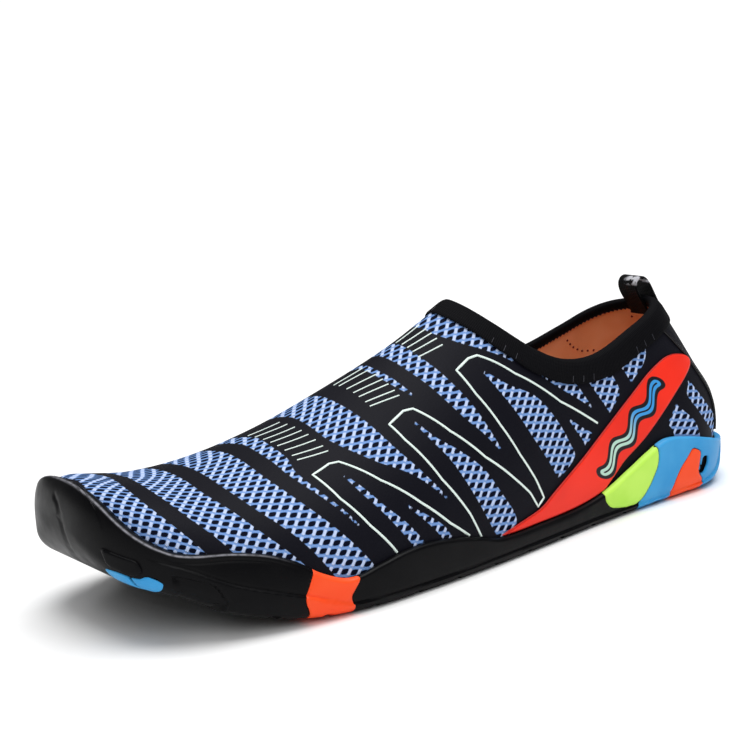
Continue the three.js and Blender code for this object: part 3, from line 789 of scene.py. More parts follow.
@dataclass(frozen=True)
class StretchKnit:
    """Openwork polyester knit with matt black film pressed over part of it.

    The knit shows pale upright floats between wavy blue cords and dark rounded
    holes; the film is smooth and near black with a cool cast.
    """

    along_mm: float = 3.42
    across_mm: float = 3.35
    cord_tilt: float = -15.6
    float_tilt: float = 52.0
    cord: str = "#668CC6"
    cord_shade: str = "#587CBA"
    floats: str = "#BCCBEA"
    # lighter blue painted as a highlight along the middle of each cord
    cord_highlight: str = "#789BD2"
    hole: str = "#02061C"
    film: str = "#0B0B14"
    film_light: str = "#101018"
    hole_half: float = 0.315
    squareness: float = 3.0
    wave: float = 0.035
    rib_mm: float = 0.9

    def lattice(self, f: Finish) -> tuple[bpy.types.NodeSocket, ...]:
        """Cell coordinates from -0.5 to 0.5 along the cords and along the floats."""
        u, v = f.cloth()
        a, b = math.radians(self.cord_tilt), math.radians(self.float_tilt)
        scale = math.sin(b - a)
        along = f.math("DIVIDE", f.math("SUBTRACT", f.math("MULTIPLY", u, math.sin(b)),
                                        f.math("MULTIPLY", v, math.cos(b))),
                       scale * self.along_mm)
        up = f.math("DIVIDE", f.math("SUBTRACT", f.math("MULTIPLY", v, math.cos(a)),
                                     f.math("MULTIPLY", u, math.sin(a))),
                    scale * self.across_mm)
        wave = f.math("MULTIPLY", f.math("SINE", f.math("MULTIPLY", along, 2 * math.pi)),
                      self.wave)
        cells = []
        for value in (along, f.math("ADD", up, wave)):
            cells.append(f.math("SUBTRACT", f.math("FRACT", value), 0.5))
        return tuple(cells)

    def build(self) -> bpy.types.Material:
        """The material."""
        f = Finish("stretch_knit_with_black_film", roughness=0.72, ior=1.45,
                   specular_ior_level=0.1)
        edge = f.attribute("knit")
        p, q = self.lattice(f)
        far_p, far_q = f.math("ABSOLUTE", p), f.math("ABSOLUTE", q)
        # a rounded hole in the middle of each cell
        power = f.math("ADD", *(
            f.math("POWER", f.math("DIVIDE", far, self.hole_half), self.squareness)
            for far in (far_p, far_q)))
        yarn = f.step(power, 0.70, 1.30)
        # floats stand between holes of a row and duck under the cords
        upright = f.math("MULTIPLY", f.step(far_p, 0.27, 0.40), f.step(far_q, 0.45, 0.32))
        shade = f.mix(f.noise(30.0), srgb(self.cord), srgb(self.cord_shade))
        # painted highlight: each cord turns lighter along its middle, where light catches its
        # crown
        thread = f.mix(f.step(far_q, 0.36, 0.48), shade, srgb(self.cord_highlight))
        knit = f.mix(yarn, srgb(self.hole), f.mix(upright, thread, srgb(self.floats)))
        # near the film's edge the holes close first, and the yarns end last
        inside = f.step(f.math("ADD", edge, f.math("MULTIPLY", yarn, 0.55)), 0.25, 0.60)
        film = f.mix(f.noise(14.0, 3.0), srgb(self.film), srgb(self.film_light))
        f.put("Base Color", f.mix(inside, film, knit))
        turns = f.math("MULTIPLY", f.cloth()[0], 2 * math.pi / self.rib_mm)
        ribs = f.math("ABSOLUTE", f.math("SINE", turns))
        fine = f.math("ADD", f.math("MULTIPLY", ribs, 0.05),
                      f.math("MULTIPLY", f.noise(0.7), 0.10))
        relief = f.math("MULTIPLY", f.math("ADD", f.math("MULTIPLY", yarn, 0.7),
                                           f.math("MULTIPLY", upright, 0.3)), inside)
        base = f.math("MULTIPLY", f.math("SUBTRACT", 1.0, inside),
                      f.math("ADD", 0.55, fine))
        f.bump(f.math("ADD", relief, base), 0.55, 0.9)
        f.put("Roughness", f.math("ADD", 0.58, f.math("MULTIPLY", inside, 0.22)))
        return f.material


@dataclass(frozen=True)
class BrushedLining:
    """Brushed polyester tricot over thin foam: warm tan, soft and matt."""

    tan: str = "#F0B48A"
    deep: str = "#E39C6A"

    def build(self) -> bpy.types.Material:
        """The material."""
        f = Finish("brushed_tricot_lining", roughness=0.86, ior=1.5, sheen_weight=0.25)
        f.put("Base Color", f.mix(f.step(f.noise(22.0), 0.35, 0.65), srgb(self.tan),
                                  srgb(self.deep)))
        grain = f.math("ADD", f.math("MULTIPLY", f.noise(0.8, 3.0), 0.6),
                       f.math("MULTIPLY", f.noise(5.0), 0.4))
        f.bump(grain, 0.25, 0.6)
        return f.material


@dataclass(frozen=True)
class MouldedRubber:
    """Compression-moulded rubber: a fine tool grain under a soft gloss.

    A pale bead colour paints a highlight on the polished line along the toe's edge.
    """

    name: str
    colour: str
    light: str
    roughness: float = 0.36
    grain_mm: float = 0.5
    gloss: float = 0.22
    bead: str = ""

    def build(self) -> bpy.types.Material:
        """The material."""
        f = Finish(self.name, roughness=self.roughness, ior=1.5,
                   specular_ior_level=self.gloss)
        tone = f.mix(f.step(f.noise(18.0, 3.0), 0.35, 0.7), srgb(self.colour),
                     srgb(self.light))
        rough = f.step(f.noise(6.0, 3.0), 0.2, 0.8, self.roughness - 0.05,
                       self.roughness + 0.08)
        # painted highlight: a pale grey line along the toe's polished bead, flecked by noise
        if self.bead:
            line = f.math("MULTIPLY", f.attribute("bead"),
                          f.step(f.noise(2.0, 3.0), 0.3, 0.6, 0.4, 1.0))
            tone = f.mix(line, tone, srgb(self.bead))
        f.put("Base Color", tone)
        f.put("Roughness", rough)
        height = f.math("ADD", f.math("MULTIPLY", f.noise(self.grain_mm, 2.0), 0.5),
                        f.math("MULTIPLY", f.noise(9.0, 2.0), 0.5))
        f.bump(height, 0.12, 0.5)
        return f.material


@dataclass(frozen=True)
class PrintedFilm:
    """Thermoplastic film with a printed ripple: flat colour under a satin skin."""

    red: str = "#F7301C"
    red_low: str = "#E92A1A"
    ink: str = "#17141A"
    mint: str = "#B9DCCB"
    blue: str = "#3C97DC"
    rim: str = "#B81E14"
    length_mm: float = 15.0
    swing_mm: float = 1.7
    start_mm: float = 1.0
    end_mm: float = 43.0
    outline_mm: float = 3.25
    ribbon_mm: float = 1.65
    vein_mm: float = 0.36

    def build(self) -> bpy.types.Material:
        """The material."""
        f = Finish("printed_thermoplastic_film", roughness=0.42, ior=1.46,
                   specular_ior_level=0.25)
        s, n = f.cloth()
        turns = f.math("MULTIPLY", s, 2 * math.pi / self.length_mm)
        wave = f.math("MULTIPLY", f.math("SINE", turns), self.swing_mm)
        off = f.math("ABSOLUTE", f.math("SUBTRACT", n, wave))
        middle, half = (self.start_mm + self.end_mm) / 2, (self.end_mm - self.start_mm) / 2
        past = f.math("SUBTRACT", f.math("ABSOLUTE", f.math("SUBTRACT", s, middle)), half)
        over = f.math("MAXIMUM", past, 0.0)
        away = f.math("SQRT", f.math("ADD", f.math("POWER", off, 2.0),
                                     f.math("POWER", over, 2.0)))
        outline = f.step(away, self.outline_mm + 0.10, self.outline_mm - 0.10)
        core = f.step(away, self.ribbon_mm + 0.10, self.ribbon_mm - 0.10)
        vein = f.step(away, self.vein_mm + 0.06, self.vein_mm - 0.06)
        tone = f.mix(f.step(s, self.start_mm + 14, self.end_mm - 14), srgb(self.mint),
                     srgb(self.blue))
        ground = f.mix(f.step(f.noise(25.0), 0.3, 0.7), srgb(self.red), srgb(self.red_low))
        inked = f.mix(outline, ground, srgb(self.ink))
        inked = f.mix(core, inked, tone)
        inked = f.mix(vein, inked, srgb(self.ink))
        rim_line = f.step(f.attribute("rim"), 0.55, 0.30)
        f.put("Base Color", f.mix(rim_line, inked, srgb(self.rim)))
        f.bump(f.math("ADD", f.math("MULTIPLY", f.noise(0.6), 0.4),
                      f.math("MULTIPLY", outline, 0.6)), 0.12, 0.5)
        return f.material


@dataclass(frozen=True)
class RibbedTape:
    """Narrow woven or knitted trim: fine ribs across, matt and near black."""

    name: str
    colour: str
    rib_crest_highlight: str = "#0A0A0E"
    rib_mm: float = 0.9
    roughness: float = 0.7
    depth_mm: float = 0.25
    fray_and_glare: str = ""

    def build(self) -> bpy.types.Material:
        """The material."""
        f = Finish(self.name, roughness=self.roughness, ior=1.5, specular_ior_level=0.06)
        pitches = (self.rib_mm, self.rib_mm * 1.4)
        ribs, rows = (
            f.math("ABSOLUTE", f.math("SINE", f.math("MULTIPLY", along, math.pi / pitch)))
            for along, pitch in zip(f.cloth(), pitches))
        weave = f.math("ADD", f.math("MULTIPLY", ribs, 0.6), f.math("MULTIPLY", rows, 0.25))
        # painted highlight: the rib crests are painted lighter than the grooves between them
        tone = f.mix(f.math("MULTIPLY", weave, 0.5), srgb(self.colour), srgb(self.rib_crest_highlight))
        # the loop's top is painted pale: a painted highlight, partly fraying
        if self.fray_and_glare:
            fray_and_glare_mask = f.math("MULTIPLY", f.attribute("pale"), f.step(f.noise(2.2), 0.45, 0.6))
            tone = f.mix(fray_and_glare_mask, tone, srgb(self.fray_and_glare))
        f.put("Base Color", tone)
        f.bump(f.math("ADD", weave, f.math("MULTIPLY", f.noise(3.0), 0.3)),
               self.depth_mm, 0.7)
        return f.material


@dataclass(frozen=True)
class PlainCoat:
    """A thread, a print or the floor: one colour with a faint grain."""

    name: str
    colour: str
    second: str
    roughness: float = 0.6
    grain_mm: float = 0.5

    def build(self) -> bpy.types.Material:
        """The material."""
        f = Finish(self.name, roughness=self.roughness, ior=1.5)
        f.put("Base Color", f.mix(f.noise(self.grain_mm * 6), srgb(self.colour),
                                  srgb(self.second)))
        f.bump(f.noise(self.grain_mm), 0.05, 0.4)
        return f.material


# ---------------------------------------------------------------- repeats

class Repeat(Enum):
    """What a path carries."""

    BEAD = "bead"
    DOT = "dot"


@dataclass(frozen=True)
class PathWork:
    """Beads and dots that follow paths, made by geometry nodes."""

    name: str
    kind: Repeat
    radius_mm: float
    pitch_mm: float
    finish: bpy.types.Material

    def tree(self) -> bpy.types.NodeTree:
        """The node tree, with its sizes as named inputs."""
        tree = bpy.data.node_groups.new(f"{self.name}_tree", "GeometryNodeTree")
        face = tree.interface
        face.new_socket("Geometry", in_out="INPUT", socket_type="NodeSocketGeometry")
        for label in ("Radius", "Pitch"):
            face.new_socket(label, in_out="INPUT", socket_type="NodeSocketFloat")
        face.new_socket("Geometry", in_out="OUTPUT", socket_type="NodeSocketGeometry")
        source = add_node(tree, "NodeGroupInput").outputs
        curve = add_node(tree, "GeometryNodeMeshToCurve", {"Mesh": source["Geometry"]})
        if self.kind is Repeat.BEAD:
            ring = add_node(tree, "GeometryNodeCurvePrimitiveCircle",
                            {"Resolution": 10, "Radius": source["Radius"]})
            body = add_node(tree, "GeometryNodeCurveToMesh", {
                "Curve": curve.outputs[0], "Profile Curve": ring.outputs[0], "Fill Caps": True})
            made = body.outputs[0]
        else:
            steps = add_node(tree, "GeometryNodeCurveToPoints", {
                "Curve": curve.outputs[0], "Length": source["Pitch"]}, mode="LENGTH")
            seed = add_node(tree, "GeometryNodeMeshIcoSphere",
                            {"Radius": source["Radius"], "Subdivisions": 2})
            placed = add_node(tree, "GeometryNodeInstanceOnPoints", {
                "Points": steps.outputs[0], "Instance": seed.outputs[0]})
            made = placed.outputs[0]
        real = add_node(tree, "GeometryNodeRealizeInstances", {0: made})
        smooth = add_node(tree, "GeometryNodeSetShadeSmooth", {0: real.outputs[0]})
        dressed = add_node(tree, "GeometryNodeSetMaterial",
                           {"Geometry": smooth.outputs[0], "Material": self.finish})
        add_node(tree, "NodeGroupOutput", {0: dressed.outputs[0]})
        return tree

    def build(self, paths: Sequence[np.ndarray], closed: bool = False) -> bpy.types.Object:
        """Runs the tree over paths and keeps its result as a plain mesh.

        Args:
            paths: Points of each path, in millimetres.
            closed: Whether each path ends where it starts.

        Returns:
            The piece.
        """
        points = np.concatenate(paths)
        edges, start = [], 0
        for path in paths:
            edges += [(start + k, start + k + 1) for k in range(len(path) - 1)]
            if closed:
                edges.append((start + len(path) - 1, start))
            start += len(path)
        mesh = bpy.data.meshes.new(f"{self.name}_path")
        mesh.from_pydata(((points + SHIFT) * MM).tolist(), edges, [])
        rail = link(f"{self.name}_path", mesh)
        modifier = rail.modifiers.new("run", "NODES")
        tree = self.tree()
        modifier.node_group = tree
        sizes = {"Radius": self.radius_mm, "Pitch": self.pitch_mm}
        for item in tree.interface.items_tree:
            if item.in_out == "INPUT" and item.name in sizes:
                modifier[item.identifier] = sizes[item.name] * MM
        graph = bpy.context.evaluated_depsgraph_get()
        made = bpy.data.meshes.new_from_object(rail.evaluated_get(graph))
        bpy.data.objects.remove(rail)
        made.name = self.name
        return link(self.name, made)


def dress(piece: bpy.types.Object, slot: str, *nodes: str) -> None:
    """Fixes a piece to the shoe, hides the nodes it stands for and logs its triangles."""
    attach(piece, "root")
    if nodes:
        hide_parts(*nodes)
    piece.data.calc_loop_triangles()
    LOG.info("%s: %d triangles", piece.name, len(piece.data.loop_triangles))


# ---------------------------------------------------------------- upper

WINDOW_SLANT = 0.85
GIRTH_MM = 62.0


@dataclass(frozen=True)
class Strip:
    """A window in the film: its front and rear edges up the shoe's side."""

    rows: tuple[tuple[float, float, float], ...]

    def depth(self, at: np.ndarray, up: np.ndarray) -> np.ndarray:
        """How far inside the window points lie, in millimetres.

        Args:
            at: Shares of the length.
            up: Shares of the way from the feather edge to the ridge.

        Returns:
            Depths, negative outside.
        """
        edges = Table(("up", "front", "rear"), tuple(reversed(self.rows)))
        low, high = self.rows[-1][0], self.rows[0][0]
        front, rear = edges.read("front", up), edges.read("rear", up)
        width = np.minimum(front - at, at - rear) * FORM.length * WINDOW_SLANT
        ends = np.minimum(up - low, high - up) * GIRTH_MM
        return np.minimum(width, ends)


STRETCH = Table(
    ("at", "hold", "along", "across", "ease"),
    (
        (0.00, 0.0, 0.0, 1.10, 0.10),
        (0.45, 0.0, 0.0, 1.10, 0.10),
        (0.62, 0.0, 0.0, 1.05, 0.12),
        (0.74, 0.0, 0.0, 1.04, 0.24),
        (0.79, 0.2, 0.2, 1.05, 0.26),
        (0.84, 0.4, 0.8, 1.06, 0.26),
        (0.95, 0.5, 4.0, 1.12, 0.24),
        (1.00, 0.5, 6.0, 1.14, 0.24),
    ),
)


@dataclass(frozen=True)
class Upper:
    """The stretch upper: one wall with film outside and lining inside."""

    wall_mm: float = 1.8
    rear_scale: float = 0.96
    held_at: float = 0.76
    rows: int = 76
    inner_every: int = 4
    windows: tuple[Strip, ...] = (
        Strip(((1.20, 0.976, 0.928), (0.85, 0.984, 0.945), (0.60, 0.989, 0.944),
               (0.40, 0.985, 0.930), (0.25, 0.976, 0.911), (0.10, 0.955, 0.890))),
        Strip(((1.20, 0.905, 0.857), (0.90, 0.918, 0.864), (0.70, 0.917, 0.864),
               (0.50, 0.906, 0.848), (0.35, 0.887, 0.830), (0.10, 0.855, 0.785))),
        Strip(((1.20, 0.828, 0.774), (0.90, 0.836, 0.783), (0.70, 0.835, 0.784),
               (0.50, 0.821, 0.770), (0.30, 0.792, 0.743), (0.05, 0.755, 0.700))),
        Strip(((1.20, 0.745, 0.725), (0.90, 0.757, 0.739), (0.75, 0.758, 0.742),
               (0.65, 0.757, 0.748), (0.50, 0.744, 0.739), (0.27, 0.713, 0.711))),
        Strip(((1.20, 0.676, 0.634), (0.90, 0.683, 0.637), (0.70, 0.682, 0.632),
               (0.50, 0.653, 0.620), (0.35, 0.610, 0.599), (0.22, 0.577, 0.575))),
        Strip(((1.20, 0.571, 0.565), (0.90, 0.574, 0.567), (0.75, 0.569, 0.562),
               (0.65, 0.559, 0.557))),
        Strip(((1.20, 0.546, 0.520), (0.80, 0.541, 0.516), (0.60, 0.527, 0.503),
               (0.45, 0.509, 0.488), (0.35, 0.488, 0.478), (0.27, 0.471, 0.469))),
        Strip(((1.20, 0.486, 0.455), (0.85, 0.480, 0.444), (0.70, 0.462, 0.429),
               (0.60, 0.437, 0.417), (0.49, 0.400, 0.398))),
        Strip(((0.51, 0.700, 0.698), (0.40, 0.690, 0.683), (0.30, 0.676, 0.668),
               (0.20, 0.660, 0.646), (0.10, 0.642, 0.625))),
        Strip(((0.26, 0.638, 0.636), (0.20, 0.623, 0.615), (0.13, 0.605, 0.591),
               (0.08, 0.594, 0.581))),
        Strip(((0.54, 0.578, 0.576), (0.44, 0.567, 0.560), (0.34, 0.552, 0.532),
               (0.25, 0.540, 0.507), (0.15, 0.526, 0.487), (0.04, 0.508, 0.466),
               (0.01, 0.500, 0.480))),
        Strip(((0.52, 0.451, 0.449), (0.43, 0.439, 0.422), (0.35, 0.426, 0.384),
               (0.25, 0.409, 0.357), (0.18, 0.394, 0.344), (0.14, 0.385, 0.340),
               (0.11, 0.379, 0.366))),
        Strip(((0.43, 0.372, 0.370), (0.38, 0.355, 0.341), (0.33, 0.333, 0.308),
               (0.28, 0.306, 0.295), (0.25, 0.290, 0.288))),
        Strip(((0.24, 0.335, 0.333), (0.20, 0.325, 0.311), (0.18, 0.319, 0.299),
               (0.16, 0.315, 0.311))),
        Strip(((0.345, 0.272, 0.242), (0.33, 0.281, 0.237), (0.29, 0.274, 0.230),
               (0.26, 0.267, 0.229), (0.24, 0.262, 0.240), (0.22, 0.258, 0.255))),
        Strip(((0.38, 0.146, 0.142), (0.34, 0.209, 0.150), (0.31, 0.206, 0.167),
               (0.28, 0.201, 0.197))),
        Strip(((0.18, 0.134, 0.130), (0.155, 0.147, 0.118), (0.14, 0.154, 0.110),
               (0.12, 0.147, 0.102), (0.07, 0.145, 0.092))),
        Strip(((0.23, 0.088, 0.084), (0.20, 0.103, 0.079), (0.15, 0.091, 0.065),
               (0.11, 0.076, 0.047), (0.07, 0.055, 0.034), (0.04, 0.045, 0.032))),
    )

    def depth(self, at: np.ndarray, up: np.ndarray) -> np.ndarray:
        """How far inside the nearest knit window points lie."""
        return np.max([w.depth(at, up) for w in self.windows], axis=0)

    def columns(self) -> np.ndarray:
        """Places of the grid's columns, with one where the collar meets the ridge."""
        at = FORM.stations(52, 230, 90)
        return np.unique(np.append(at, FORM.crossing(0.30, 0.60, 0.0, FORM.collar)))

    def chart(self, at: np.ndarray, side: Side, turns: np.ndarray) -> np.ndarray:
        """Cloth coordinates: rearwards, and up from the outer feather edge.

        Args:
            at: Shares of the length of the columns.
            side: Which side of the shoe.
            turns: Turns of the grid's points.

        Returns:
            Two coordinates in millimetres for each point.
        """
        full = np.linspace(0, QUARTER, 160)[None, :]
        spans = {s: arc_shares(FORM.wall(at[:, None], s, full, 0.0)) for s in Side}
        run = np.array([np.interp(t, full[0], r) for t, r in zip(turns, spans[side])])
        total = spans[side][:, -1:]
        share = run / total
        loose = STRETCH.read("ease", at)[:, None]
        run = run - loose * total * np.clip(share - 0.5, 0, 1)**2
        if side is Side.INNER:
            run = (1 - loose / 4) * (spans[Side.OUTER][:, -1:] + total) - run
        wide = STRETCH.read("across", at)[:, None]
        ridge = wide * (1 - loose / 4) * spans[Side.OUTER][:, -1:]
        held = STRETCH.read("hold", at)[:, None]
        run = run * wide + held * (ridge[int(np.searchsorted(at, self.held_at))] - ridge)
        rows = FORM.wall(at[:, None], side, turns, 0.0)
        steps = np.linalg.norm(np.diff(rows, axis=0), axis=-1)
        along = np.concatenate([np.zeros((1, turns.shape[1])), np.cumsum(steps, 0)])
        middle = int(np.searchsorted(at, 0.5))
        along = along[middle] - along
        plain = (0.5 - at)[:, None] * FORM.length * self.rear_scale
        along = np.where(at[:, None] > at[middle], along, plain)
        along = along - STRETCH.read("along", at)[:, None]
        return np.stack([along, run], -1)

    def build(self, film: bpy.types.Material, lining: bpy.types.Material) -> bpy.types.Object:
        """The upper as one closed wall.

        Args:
            film: Material of the outside.
            lining: Material of the inside and the rims.

        Returns:
            The piece.
        """
        at = self.columns()
        skins = []
        for side in Side:
            flip = side is Side.OUTER
            outer_turns = WallGrid(at, side, self.rows, FORM.collar_of(side)).turns()
            inner_turns = outer_turns[:, ::self.inner_every]
            outer = FORM.wall(at[:, None], side, outer_turns, 0.0)
            inner = FORM.wall(at[:, None], side, inner_turns, -self.wall_mm)
            chart = self.chart(at, side, outer_turns)
            knit = self.depth(at[:, None], outer_turns / QUARTER)
            skins.append(Skin.grid(outer, flip, chart, {"knit": knit}))
            skins.append(Skin.grid(inner, not flip, chart[:, ::self.inner_every], finish=1))
            coarse = outer[:, ::self.inner_every]
            for row in (0, -1):
                skins.append(rim(coarse[:, row], inner[:, row], flip == (row == 0), 1))
        return Skin.joined(skins).welded().to_object("upper_shell", (film, lining), 70.0)

    def point(self, at: float, up: float, side: Side, grow: float) -> np.ndarray:
        """A point on the upper at shares of its length and of its girth."""
        turn = np.array(min(up, 2 - up) * QUARTER)
        other = Side.INNER if side is Side.OUTER else Side.OUTER
        return FORM.wall(np.array(at), side if up <= 1 else other, turn, grow)

    def path(self, stops: Sequence[tuple[float, float]], side: Side, grow: float,
             spacing: float = 1.2) -> np.ndarray:
        """Points along straight runs between stops on the upper's chart."""
        out = []
        for (a0, u0), (a1, u1) in zip(stops[:-1], stops[1:]):
            ends = [self.point(a, u, side, grow) for a, u in ((a0, u0), (a1, u1))]
            count = max(2, int(np.linalg.norm(ends[1] - ends[0]) / spacing))
            for t in np.arange(count) / count:
                out.append(self.point(a0 + (a1 - a0) * t, u0 + (u1 - u0) * t, side, grow))
        out.append(self.point(*stops[-1], side, grow))
        return np.array(out)


LINING_HOLES = (
    ((0.130, 1.658), (0.120, 1.682), (0.109, 1.696), (0.097, 1.707), (0.076, 1.711)),
    ((0.004, 1.540), (0.009, 1.600)),
)


@dataclass(frozen=True)
class Prints:
    """Raised mint lines printed on the film: three open arrows and three combs."""

    arrows: tuple[tuple[tuple[float, float], ...], ...] = (
        ((0.669, 0.100), (0.676, 0.140), (0.697, 0.250), (0.720, 0.420), (0.733, 0.595),
         (0.706, 0.607), (0.694, 0.590), (0.659, 0.410), (0.617, 0.250), (0.580, 0.130),
         (0.552, 0.060)),
        ((0.532, 0.040), (0.545, 0.130), (0.575, 0.290), (0.601, 0.500), (0.608, 0.598),
         (0.581, 0.612), (0.568, 0.595), (0.536, 0.430), (0.498, 0.280), (0.456, 0.160),
         (0.434, 0.100), (0.423, 0.052), (0.410, 0.070), (0.420, 0.130), (0.439, 0.220),
         (0.458, 0.340), (0.476, 0.480), (0.485, 0.605), (0.461, 0.606), (0.447, 0.590),
         (0.404, 0.450), (0.342, 0.300), (0.284, 0.202)),
    )
    combs: tuple[tuple[float, float, tuple[float, ...]], ...] = (
        (0.734, 0.695, (1.08, 1.02, 0.965, 0.915, 0.865, 0.81, 0.755, 0.715)),
        (0.612, 0.572, (1.05, 0.985, 0.915, 0.86, 0.815, 0.765, 0.73)),
        (0.516, 0.480, (1.03, 0.94, 0.885, 0.835, 0.785)),
    )
    comb_rise: float = -0.045
    arrow_radius: float = 0.52
    arrow_sunk: float = 0.27
    comb_radius: float = 0.30
    comb_sunk: float = 0.12

    def build(self, upper: Upper, finish: bpy.types.Material) -> list[bpy.types.Object]:
        """The two line pieces."""
        wide, thin = [], []
        for side in Side:
            for arrow in self.arrows:
                wide.append(upper.path(arrow, side, -self.arrow_sunk))
        for front, rear, levels in self.combs:
            for level in levels:
                stops = ((front, level), (rear, level + self.comb_rise))
                thin.append(upper.path(stops, Side.OUTER, -self.comb_sunk))
        kinds = (("arrow_lines", self.arrow_radius, wide),
                 ("comb_lines", self.comb_radius, thin))
        return [PathWork(name, Repeat.BEAD, radius, 1.0, finish).build(paths)
                for name, radius, paths in kinds]


@dataclass(frozen=True)
class SidePanel:
    """The raised film on one side of the heel, with its printed ripple."""

    side: Side
    thickness: float = 0.75
    bevel: float = 0.7
    low_end: tuple[float, float] = (78.0, 18.0)
    high_end: tuple[float, float] = (41.3, 43.2)

    def build(self, finish: bpy.types.Material) -> bpy.types.Object:
        """The panel as a closed plate."""
        at = FORM.stations(70, 300, 20)
        at = at[at < 0.56]
        grow = GAP + self.thickness
        turns = WallGrid(at, self.side, 150, FORM.collar_of(self.side), grow).turns()
        points = FORM.wall(at[:, None], self.side, turns, grow)
        flat = points[..., (0, 2)]
        axis = np.subtract(self.high_end, self.low_end)
        axis /= np.linalg.norm(axis)
        away = flat - self.low_end
        chart = np.stack([away @ axis, away @ (-axis[1], axis[0])], -1)
        skin = Skin.grid(points, self.side is Side.OUTER, chart)
        over = np.maximum(outline_distance(flat, side_outline(SIDE_PANEL, 5.0)),
                          FORM.rand(flat[..., 0]) + GAP - flat[..., 1])
        plate = skin.clipped(over.reshape(-1)).thickened(self.thickness, 0.35, self.bevel)
        name = "side_film_outer" if self.side is Side.OUTER else "side_film_inner"
        return plate.to_object(name, (finish,), 60.0)


# ---------------------------------------------------------------- trim

@dataclass(frozen=True)
class Collar:
    """The knitted binding folded over the collar, and its overlock threads."""

    count: int = 420
    profile: tuple[tuple[float, float], ...] = (
        (-6.95, 0.40), (-7.25, 0.65), (-7.05, 0.95), (-6.4, 1.12), (-5.0, 1.18), (-3.2, 1.25),
        (-1.6, 1.30), (-0.3, 1.15), (0.5, 0.75), (1.05, 0.05), (1.2, -0.9), (1.05, -1.85),
        (0.5, -2.55), (-0.1, -2.90), (-0.8, -3.00), (-1.6, -2.98), (-2.4, -2.85),
        (-2.8, -2.60), (-2.85, -2.35), (-2.7, -2.12), (-1.5, -2.10), (-0.2, -2.10),
        (0.35, -1.7), (0.45, -0.9), (0.35, -0.1), (-0.2, 0.35), (-4.0, 0.38))

    def loop(self, offset: float, grow: float, count: int) -> np.ndarray:
        """A closed line round the collar, off its edge and off the form.

        Args:
            offset: Distance above the collar's edge, along the wall.
            grow: Distance out from the form.
            count: How many points.

        Returns:
            Points from the heel round the outer side and back.
        """
        halves = []
        for side in Side:
            edge = FORM.collar_of(side)

            def line(x: np.ndarray) -> np.ndarray:
                """Height of a line at the offset from the collar's edge."""
                slope = edge(x + 0.5) - edge(x - 0.5)
                return edge(x) + offset * np.sqrt(1 + slope**2)

            at = FORM.crossing(0.30, 0.70, grow, line)
            at = at * (1 - np.cos(np.linspace(0, 1, 260) * math.pi)) / 2
            points = FORM.wall(at, side, FORM.cut(at, side, grow, line), grow)
            run = arc_shares(points)
            even = np.linspace(0, run[-1], count // 2 + 1)
            halves.append(np.stack([np.interp(even, run, points[:, k]) for k in range(3)], -1))
        return np.concatenate([halves[0][:-1], halves[1][:0:-1]])

    def build(self, finish: bpy.types.Material) -> bpy.types.Object:
        """The binding as one closed ring."""
        rows = []
        for offset, grow in self.profile:
            rows.append(self.loop(offset, grow, self.count))
        points = np.array(rows + rows[:1])
        run = np.linspace(0, 330, self.count)
        across = arc_shares(np.array([(o, g) for o, g in self.profile + self.profile[:1]]))
        chart = np.stack(np.broadcast_arrays(run[None, :], across[:, None]), -1)
        skin = Skin.grid(points, False, chart, loop=True).welded()
        return skin.to_object("binding_band", (finish,), 80.0)

    def stitches(self, finish: bpy.types.Material,
                 dark: bpy.types.Material) -> list[bpy.types.Object]:
        """Short upright threads outside and a ragged overlock row inside."""
        low, high = self.loop(-6.6, 1.10, 56), self.loop(-4.4, 1.20, 56)
        threads = [np.linspace(a, b, 4) for k, (a, b) in enumerate(zip(low, high))
                   if k % 7 < 3]
        swings = 300
        inside, swing = self.loop(-3.1, -2.50, swings), self.loop(-2.3, -2.80, swings)
        zigzag = np.where((np.arange(swings) % 2 == 0)[:, None], inside, swing)
        return [
            PathWork("binding_threads", Repeat.BEAD, 0.09, 1.0, finish).build(threads),
            PathWork("overlock_thread", Repeat.BEAD, 0.22, 1.0, dark).build([zigzag], True),
        ]


